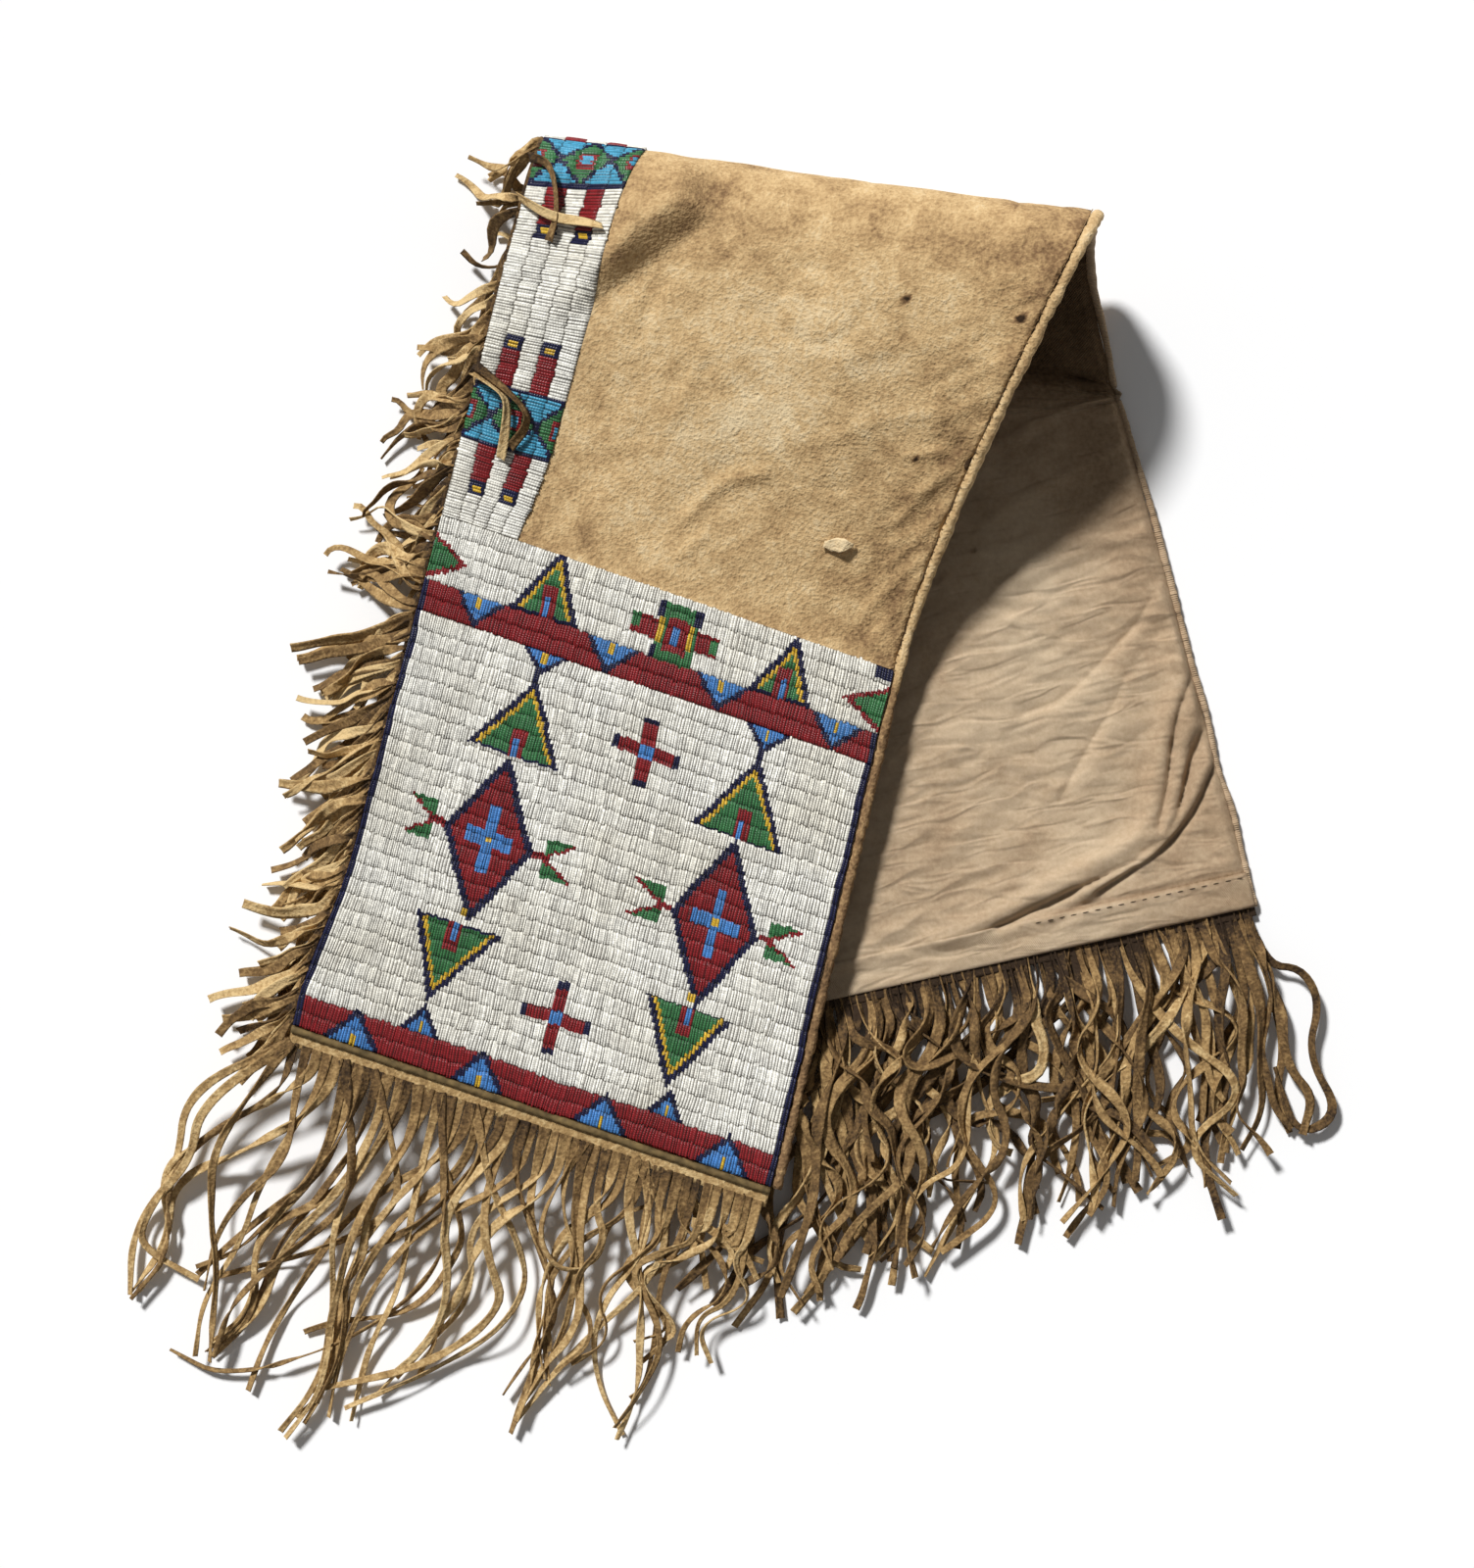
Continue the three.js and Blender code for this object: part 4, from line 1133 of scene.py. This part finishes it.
# The lines as one curve object, run through a node group and kept as a plain mesh.
def meshOfLines(name, lines, made, inputs):
    group, sockets = made
    curve = bpy.data.curves.new(name + "Lines", "CURVE")
    curve.dimensions = "3D"
    curve.twist_mode = "Z_UP"
    for line in lines:
        spline = curve.splines.new("POLY")
        spline.points.add(len(line["points"]) - 1)
        spline.points.foreach_set("co", np.c_[line["points"] * mm, np.ones(len(line["points"]))].ravel())
        spline.points.foreach_set("radius", line["radius"])
        spline.points.foreach_set("tilt", line["tilt"])
    carrier = bpy.data.objects.new(name + "Lines", curve)
    scene.collection.objects.link(carrier)
    modifier = carrier.modifiers.new("made", "NODES")
    modifier.node_group = group
    for label, value in inputs.items():
        modifier[sockets[label]] = value
    evaluated = carrier.evaluated_get(bpy.context.evaluated_depsgraph_get())
    mesh = bpy.data.meshes.new_from_object(evaluated)
    mesh.name = name
    bpy.data.objects.remove(carrier)
    piece = bpy.data.objects.new(name, mesh)
    scene.collection.objects.link(piece)
    return piece


# A strand along its course on the plan: it sinks from its root to where it lies, twisting as it goes.
def strandLine(draw, course, top, shape):
    run = np.concatenate([[0], np.cumsum(np.linalg.norm(np.diff(course, axis=0), axis=1))])
    share = run / run[-1]
    seeds = draw.integers(1, 9000, 3)
    loose = smooth(0, shape["stiff"], run)
    broad = 1 + (shape["root"] - 1) * (1 - smooth(0, 38, run))
    body = broad * (1 + 0.16 * softNoise(run, 0 * run, 17, seeds[0])) * draw.uniform(0.8, 1.15)
    body = body * (1 - (1 - shape["tip"]) * smooth(0.35, 1, share))
    twist = shape["twist"] * draw.choice([0.4, 0.8, 1.7], p=[0.45, 0.3, 0.25])
    tilt = twist * loose * softNoise(run, 0 * run, 45, seeds[1]) * 2
    tilt = tilt + shape["gather"] * draw.uniform(-1, 1) * (1 - smooth(0.2, 1.4, run / shape["stiff"]))
    level = draw.uniform(1.2, shape["pile"])
    level = level + loose * shape["hump"] * (1 + softNoise(run, 0 * run, 40, seeds[2])) * (1 - 0.75 * share)
    z = top + (level - top) * smooth(0, shape["fall"], run)
    z = np.maximum(z, 0.8 + 0.5 * shape["width"] * body * np.abs(np.sin(tilt)))
    return {"points": np.c_[course, z], "radius": body, "tilt": tilt}


# A course that wanders about its heading, more freely toward the tip.
def looseCourse(draw, root, heading, shape):
    length = shape["length"] * draw.uniform(*shape["vary"])
    steps = max(int(length / 4.0), 9)
    share = np.linspace(0, 1, steps + 1)[1:]
    run = share * length
    seeds = draw.integers(1, 9000, 2)
    wander = shape["wander"] * draw.uniform(0.5, 1.35) * smooth(0, shape["stiff"], run) * (0.75 + 0.5 * share)
    turn = softNoise(run, 0 * run, shape["wave"], seeds[0])
    turn = turn + 0.55 * softNoise(run, 0 * run, 0.45 * shape["wave"], seeds[1])
    angle = heading + wander * turn + math.radians(shape["sweep"]) * share
    moves = np.stack([np.cos(angle), np.sin(angle)], 1) * length / steps
    return root[:2] + np.concatenate([[[0, 0]], np.cumsum(moves, 0)])


# A course that joins a bunch: strands that close up below the hem, bend together and end near one tip.
def drawnCourse(draw, root, away, bunch, shape):
    span = bunch["tip"] - bunch["root"]
    aside = np.array([-span[1], span[0]]) / np.linalg.norm(span) * shape["sway"]
    path = [root, root + away * draw.uniform(18, 45)]
    for share, reach, bend in zip((0.4, 0.62, 0.82), (0.8, 1.0, 0.65), bunch["bends"]):
        sideways = reach * (shape["together"] * bend + (1 - shape["together"]) * draw.normal(0, 1))
        apart = (root - bunch["root"]) * (1 - share) ** 1.6
        path.append(bunch["root"] + apart + span * share + aside * sideways)
    course, length = evenly(rounded(path + [bunch["tip"] + draw.normal(0, 8, 2)]), 300)
    return course[:: max(int(1200 / length), 1)]


def fringeBand(name, us, vs, seed):
    return sheetPiece(
        name,
        us,
        vs,
        lambda u, v: 0.7 + sag(u, v) + 0.5 * softNoise(u, v, 9, seed),
        lambda u, v: -0.7 + sag(u, v) + 0.5 * softNoise(u, v, 9, seed),
        lambda u, v: 0 * u,
        finish["thong"],
    )


thongs = {"thickness": 1.25, "curl": -0.5, "nodes": thongGroup()}


# Strands and the uncut band they hang from, as one piece.
def fringePiece(name, band, lines, shape):
    inputs = {
        "Width": shape["width"] * mm,
        "Thickness": thongs["thickness"] * mm,
        "Curl": thongs["curl"] / (shape["width"] * mm),
        "Tone Low": shape["tones"][0],
        "Tone High": shape["tones"][1],
        "Seed": shape["seed"],
        "Material": finish["thong"],
    }
    strands = meshOfLines(name, lines, thongs["nodes"], inputs)
    count = len(band.data.vertices)
    for label, value in (("strandTone", shape["bandTone"]), ("strandReach", 0.3)):
        band.data.attributes.new(label, "FLOAT", "POINT").data.foreach_set("value", [value] * count)
    with bpy.context.temp_override(active_object=strands, selected_editable_objects=[strands, band]):
        bpy.ops.object.join()
    strands.data.polygons.foreach_set("use_smooth", [True] * len(strands.data.polygons))
    return strands


def between(values, share):
    return np.interp(share, np.linspace(0, 1, len(values)), values)


# Long fringe from a hem; lists run from the fringed edge to the open edge.
def endFringe(name, back, shape):
    draw = np.random.default_rng(shape["seed"])
    hemAt, out = (bagLength, 1) if back else (0.0, -1)
    band = fringeBand(
        name + "Band",
        np.linspace(0.3, bag["width"] - 0.3, 150),
        np.sort(hemAt + out * np.linspace(0.3, shape["band"], 5)),
        shape["seed"],
    )
    rootCount = 99
    roots = onBag(np.linspace(2, bag["width"] - 2, rootCount), hemAt + out * shape["start"], 0.0)
    bunches = []
    for share, tip in zip(np.linspace(0, 1, len(shape["tips"])) ** shape["crowd"], shape["tips"]):
        bunchRoot = roots[int((rootCount - 1) * share)][:2]
        bunches.append({"root": bunchRoot, "tip": np.array(tip, float), "bends": draw.normal(0, 1, 3)})
    lines = []
    for i in range(shape["strands"]):
        share = ((i + draw.uniform(0.3, 0.7)) / shape["strands"]) ** shape["crowd"]
        u = 2 + share * (bag["width"] - 4)
        root = onBag(u, hemAt + out * shape["start"], sag(u, hemAt))
        away = root - onBag(u, hemAt - out * 20, sag(u, hemAt))
        lean = math.radians(between(shape["leans"], share) + draw.normal(0, shape["spread"]))
        own = {**shape, "length": between(shape["lengths"], share), "sweep": between(shape["sweeps"], share)}
        own["wander"] = shape["wander"] * (0.45 + 0.55 * smooth(0, 0.14, min(share, 1 - share)))
        course = looseCourse(draw, root, math.atan2(away[1], away[0]) + lean, own)
        if draw.uniform() < shape["drawn"]:
            nearest = share * (len(shape["tips"]) - 1) + draw.normal(0, shape["crossing"])
            bunch = bunches[int(np.clip(round(nearest), 0, len(bunches) - 1))]
            course = drawnCourse(draw, root[:2], away[:2] / np.linalg.norm(away[:2]), bunch, shape)
        lines.append(strandLine(draw, course, root[2], shape))
    for path in shape["laid"]:
        root = roots[np.argmin(np.hypot(*(roots[:, :2] - path[0]).T))]
        course, length = evenly(rounded([root[:2]] + path[1:]), 50)
        lines.append(strandLine(draw, course, root[2], shape))
    return fringePiece(name, band, lines, shape)


# Sizes in mm, leans and sweeps in degrees; tones are those of the darkest and the palest strand.
frontFringe = endFringe(
    "frontFringe",
    False,
    {
        "seed": 101, "band": 14.0, "start": 11.0, "strands": 46, "crowd": 1.0, "width": 5.2,
        "root": 1.4, "tip": 0.72, "tones": (0.06, 0.38), "bandTone": 0.3,
        "lengths": [225, 250, 240, 225, 130],
        "leans": [24, 12, 8, 12, 6],
        "sweeps": [-14, -40, -40, -8, -10],
        "spread": 5, "vary": (0.8, 1.1), "wander": 0.8, "wave": 62.0, "stiff": 55.0,
        "fall": 170.0, "pile": 14.0, "hump": 11.0, "twist": 1.0, "gather": 0.15,
        "drawn": 0.9, "sway": 20.0, "together": 0.65, "crossing": 0.9,
        # Where the strands end, in order along the hem.
        "tips": [
            (-545, -389), (-518, -428), (-503, -381), (-488, -433), (-474, -455), (-449, -485),
            (-427, -454), (-403, -465), (-370, -450), (-294, -476), (-272, -446), (-252, -440),
            (-222, -484), (-212, -425), (-173, -429), (-133, -371),
        ],
        # Strands that can be followed one by one, on the plan.
        "laid": [
            [(-478, -238), (-507, -253), (-514, -306), (-538, -340), (-541, -359), (-502, -381)],
            [(-471, -245), (-497, -262), (-504, -301), (-534, -330), (-546, -354), (-547, -391)],
            [(-459, -253), (-488, -286), (-493, -335), (-488, -369), (-490, -403), (-493, -434)],
            [(-410, -257), (-396, -292), (-400, -330), (-439, -359), (-478, -393), (-490, -430)],
            [(-390, -262), (-366, -306), (-371, -335), (-415, -359), (-488, -379)],
            [(-347, -277), (-337, -320), (-337, -369), (-390, -418), (-483, -447), (-521, -427)],
            [(-323, -282), (-308, -316), (-289, -354), (-283, -389), (-318, -427), (-405, -466)],
            [(-298, -286), (-313, -330), (-308, -369), (-298, -398), (-347, -437), (-427, -454)],
            [(-250, -301), (-279, -340), (-265, -374), (-235, -369), (-230, -340), (-201, -330)],
            [(-216, -306), (-191, -335), (-196, -374), (-250, -423), (-293, -476)],
            [(-211, -311), (-201, -354), (-240, -403), (-240, -447), (-221, -485)],
            [(-143, -320), (-138, -354), (-148, -393), (-172, -403), (-172, -430)],
        ],
    },
)
place(frontFringe, "fringe_hide", "front_end_fringe")
backFringe = endFringe(
    "backFringe",
    True,
    {
        "seed": 111, "band": 6.0, "start": -1.0, "strands": 96, "crowd": 1.15, "width": 7.2,
        # The uncut band is painted dark: painted shade between the roots of the strands.
        "root": 0.7, "tip": 0.75, "tones": (-0.1, 0.34), "bandTone": -0.3,
        "lengths": [200, 192, 180, 178, 162],
        "leans": [0, 0, 2, 2, -2],
        "sweeps": [0, -6, -4, 0, -4],
        "spread": 8, "vary": (0.7, 1.08), "wander": 1.0, "wave": 40.0, "stiff": 40.0,
        "fall": 45.0, "pile": 16.0, "hump": 8.0, "twist": 1.3, "gather": 1.3,
        "drawn": 0.6, "sway": 34.0, "together": 0.3, "crossing": 1.5,
        "tips": [
            (-186, -378), (-153, -398), (-120, -391), (-96, -401), (-77, -374), (-55, -365),
            (-32, -376), (-10, -359), (16, -349), (49, -336), (80, -342), (101, -330),
            (125, -322), (158, -331), (178, -322), (187, -297),
        ],
        "laid": [
            [
                (191, -140), (206, -173), (228, -173), (241, -196),
                (232, -232), (256, -271), (224, -287), (211, -240),
            ],
            [(187, -144), (206, -183), (219, -222), (212, -261), (222, -284)],
            [(75, -157), (72, -202), (101, -232), (95, -255), (56, -261)],
            [(16, -173), (-10, -222), (23, -248), (75, -255), (101, -248)],
        ],
    },
)
place(backFringe, "fringe_hide", "back_end_fringe")

# Short fringe down the other edge, over the fold and back.
sideStrands = {
    "seed": 121, "band": 2.4, "pitch": 3.7, "width": 9.0, "length": 60.0,
    # The band is darker: painted shade and soil at the seam.
    "root": 0.65, "tip": 0.42, "tones": (0.0, 0.52), "bandTone": -0.12,
    "leans": [62, 56, 30, 60, 24, 20, 20, 20, 20],
    "clump": 36.0, "sweep": 0.0, "spread": 10.0, "vary": (0.65, 1.25), "wander": 1.05, "wave": 30.0,
    "stiff": 16.0, "fall": 46.0, "pile": 14.0, "hump": 6.0, "twist": 1.2, "gather": 1.1,
    # Strands thrown back over the bead strip.
    "strays": [
        [(-2, 622), (11, 618), (20, 602), (26, 580), (24, 563)],
        [(-2, 592), (4, 588), (23, 579), (42, 578), (57, 576)],
        [(-2, 456), (10, 451), (23, 445), (27, 429), (30, 400)],
        [(-2, 462), (21, 450), (38, 439), (41, 428), (34, 410)],
    ],
}


def sideFringePiece(shape):
    draw = np.random.default_rng(shape["seed"])
    bandU, bandV = np.linspace(-shape["band"], -0.3, 4), np.linspace(0, bagLength, 320)
    band = fringeBand("sideFringeBand", bandU, bandV, shape["seed"])
    lines = []
    for v in np.arange(3, bagLength - 3, shape["pitch"]):
        v = v + draw.uniform(-2, 2)
        nearFold = 1 - smooth(40, 110, abs(v - crestV))
        calm = 1 - smooth(250, 330, v)  # beside the panel the strands lie in order
        sparse = 0.16 * (1 - calm) + 0.26 * smooth(340, 400, v)
        sparse = sparse + 0.24 * smooth(500, 550, v) * (1 - smooth(crestV + 20, crestV + 80, v))
        if draw.uniform() < sparse or (v > crestV and draw.uniform() < 0.5):
            continue
        root = onBag(1.5 - shape["band"], v, sag(0, v))
        away = root - onBag(0, v, sag(0, v))
        clump = shape["clump"] * (1 - 0.75 * calm) * softNoise(v, 0, 24, 122)
        lean = between(shape["leans"], v / bagLength) + clump
        lean = math.radians(lean + draw.normal(0, shape["spread"]))
        longer = 1 - 0.25 * nearFold + 0.22 * math.exp(-(((v - 240) / 90) ** 2))
        own = {**shape, "length": shape["length"] * longer}
        own["wander"] = shape["wander"] - 0.5 * calm
        own["twist"] = shape["twist"] - 0.5 * calm
        own["tip"] = shape["tip"] + 0.22 * calm
        course = looseCourse(draw, root, math.atan2(away[1], away[0]) + lean, own)
        lines.append(strandLine(draw, course, root[2], own))
    strayStops = 26
    for path in shape["strays"]:
        stops = np.linspace(0, 1, strayStops)
        u, v = (between(column, stops) for column in rounded(path).T)
        arc = onBag(u, v, 5.5 + 5 * np.sin(np.pi * stops) + sag(u, v))
        tilt = 1.1 * np.sin(3 * stops + path[0][1])
        lines.append({"points": arc, "radius": np.full(strayStops, 0.72), "tilt": tilt})
    return fringePiece("sideFringe", band, lines, shape)


sideFringe = place(sideFringePiece(sideStrands), "fringe_hide", "side_fringe")
print("fringe cut")


# Stitches set along a line at an even pitch, each a little askew.
def stitchGroup():
    sizes = dict.fromkeys(("Pitch", "Stitch Length", "Thread", "Slant"), "Float")
    group, sockets, given = newGroup("stitchesAlongLine", {**sizes, "Seed": "Int"})
    spacing = {"Curve": given["Geometry"], "Length": given["Pitch"]}
    spaced = addNode(group, "GeometryNodeResampleCurve", spacing, mode="LENGTH").outputs[0]
    tangent = addNode(group, "GeometryNodeInputTangent").outputs[0]
    normal = addNode(group, "GeometryNodeInputNormal").outputs[0]
    faced = addNode(group, "FunctionNodeAlignRotationToVector", {"Vector": tangent}, axis="X").outputs[0]
    upright = {"Rotation": faced, "Vector": normal}
    faced = addNode(group, "FunctionNodeAlignRotationToVector", upright, axis="Z", pivot_axis="X").outputs[0]
    askew = {"Min": -0.18, "Max": 0.18, "Seed": given["Seed"]}
    loose = addNode(group, "FunctionNodeRandomValue", askew, data_type="FLOAT").outputs[1]
    slant = addNode(group, "ShaderNodeMath", {0: given["Slant"], 1: loose}, operation="ADD").outputs[0]
    spin = addNode(group, "ShaderNodeCombineXYZ", {"Z": slant}).outputs[0]
    turn = {"Rotation": faced, "Rotate By": spin}
    turned = addNode(group, "FunctionNodeRotateRotation", turn, rotation_space="LOCAL").outputs[0]
    thread = addNode(group, "GeometryNodeMeshUVSphere", {"Segments": 8, "Rings": 5, "Radius": 1.0}).outputs[0]
    sides = {"X": given["Stitch Length"], "Y": given["Thread"], "Z": given["Thread"]}
    size = addNode(group, "ShaderNodeCombineXYZ", sides).outputs[0]
    stitch = addNode(group, "GeometryNodeTransform", {"Geometry": thread, "Scale": size}).outputs[0]
    setting = {"Points": spaced, "Instance": stitch, "Rotation": turned}
    endGroup(group, addNode(group, "GeometryNodeInstanceOnPoints", setting).outputs[0], given["Material"])
    return group, sockets


stitches = stitchGroup()
hemSewing = {"pitch": 8.0, "length": 4.2, "thread": 0.85, "slant": 0.0, "seed": 131}
edgeSewing = {"pitch": 5.2, "length": 3.4, "thread": 0.7, "slant": 0.9, "seed": 132}


def stitchPiece(name, points, sewing, material):
    line = {"points": points, "radius": np.ones(len(points)), "tilt": np.zeros(len(points))}
    inputs = {
        "Pitch": sewing["pitch"] * mm,
        "Stitch Length": sewing["length"] / 2 * mm,
        "Thread": sewing["thread"] / 2 * mm,
        "Slant": sewing["slant"],
        "Seed": sewing["seed"],
        "Material": material,
    }
    piece = meshOfLines(name, [line], stitches, inputs)
    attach(piece, "root")
    return piece


hemU = np.linspace(188, bag["width"] - 6, 120)
hemV = np.full(len(hemU), bagLength - hem["stitched"])
hemW = layer["hemIn"] - hemBulge(hemU, hem["stitchShare"]) + hemLie(hemU, hemV) - 0.2
hemStitches = stitchPiece("hemStitches", onBag(hemU, hemV, hemW), hemSewing, finish["thread"])
seamV = np.linspace(panelLength, crestV - 20, 260)
seamW = layer["hideOut"] + sag(bag["width"], seamV) + 0.6
edgeStitches = stitchPiece(
    "edgeStitches", onBag(bag["width"] + 0.4, seamV, seamW), edgeSewing, finish["paleThread"]
)
print("stitches sewn")


# White ground that keeps its shadow.
def groundPiece():
    material = newMaterial(
        "whitePaper", Base_Color=(0.965, 0.965, 0.965, 1), Roughness=1.0, Specular_IOR_Level=0.0
    )[0]
    size, low = 6000.0, -0.25
    corners = [(-size, -size, low), (size, -size, low), (size, size, low), (-size, size, low)]
    return newObject("ground", corners, [[0, 1, 2, 3]], material)


ground = groundPiece()

# Soft key from the upper left and an even fill.
light = {"toward": (-0.57, 0.82), "elevation": 46.0, "strength": 3.9, "softness": 8.0, "fill": 0.15}


def sunLamp():
    lamp = bpy.data.lights.new("keyLight", "SUN")
    lamp.energy = light["strength"]
    lamp.angle = math.radians(light["softness"])
    sun = bpy.data.objects.new("keyLight", lamp)
    flat = np.array(light["toward"]) / np.hypot(*light["toward"])
    rise = math.radians(light["elevation"])
    source = Vector((flat[0] * math.cos(rise), flat[1] * math.cos(rise), math.sin(rise)))
    sun.rotation_mode = "QUATERNION"
    sun.rotation_quaternion = source.to_track_quat("Z", "Y")
    scene.collection.objects.link(sun)


def paleWorld():
    world = bpy.data.worlds.new("paleRoom")
    scene.world = world
    world.use_nodes = True
    tree = world.node_tree
    fill = tree.nodes["Background"]
    fill.inputs["Color"].default_value = (1, 1, 1, 1)
    fill.inputs["Strength"].default_value = light["fill"]
    seen = addNode(tree, "ShaderNodeBackground", {"Color": (1, 1, 1, 1), "Strength": 1.0})
    ray = addNode(tree, "ShaderNodeLightPath").outputs
    halfLinks = {0: ray["Is Camera Ray"], 1: ray["Is Glossy Ray"]}
    half = addNode(tree, "ShaderNodeMath", halfLinks, operation="ADD")
    wholeLinks = {0: half.outputs[0], 1: ray["Is Transmission Ray"]}
    whole = addNode(tree, "ShaderNodeMath", wholeLinks, operation="ADD", use_clamp=True)
    mix = addNode(tree, "ShaderNodeMixShader", {0: whole.outputs[0], 1: fill.outputs[0], 2: seen.outputs[0]})
    tree.links.new(mix.outputs[0], tree.nodes["World Output"].inputs["Surface"])


# The camera hangs straight above, its top toward +Y.
view = {"at": (-145.2, -52.4, 1900.0), "longSide": 1043.2}


def overheadCamera():
    camera = bpy.data.cameras.new("overhead")
    camera.sensor_width = 36.0
    camera.lens = 36.0 * view["at"][2] / view["longSide"]
    camera.clip_end = 50
    holder = bpy.data.objects.new("overhead", camera)
    holder.location = Vector(view["at"]) * mm
    scene.collection.objects.link(holder)
    scene.camera = holder


sunLamp()
paleWorld()
overheadCamera()
scene.view_settings.view_transform = "Standard"
print("stage set")
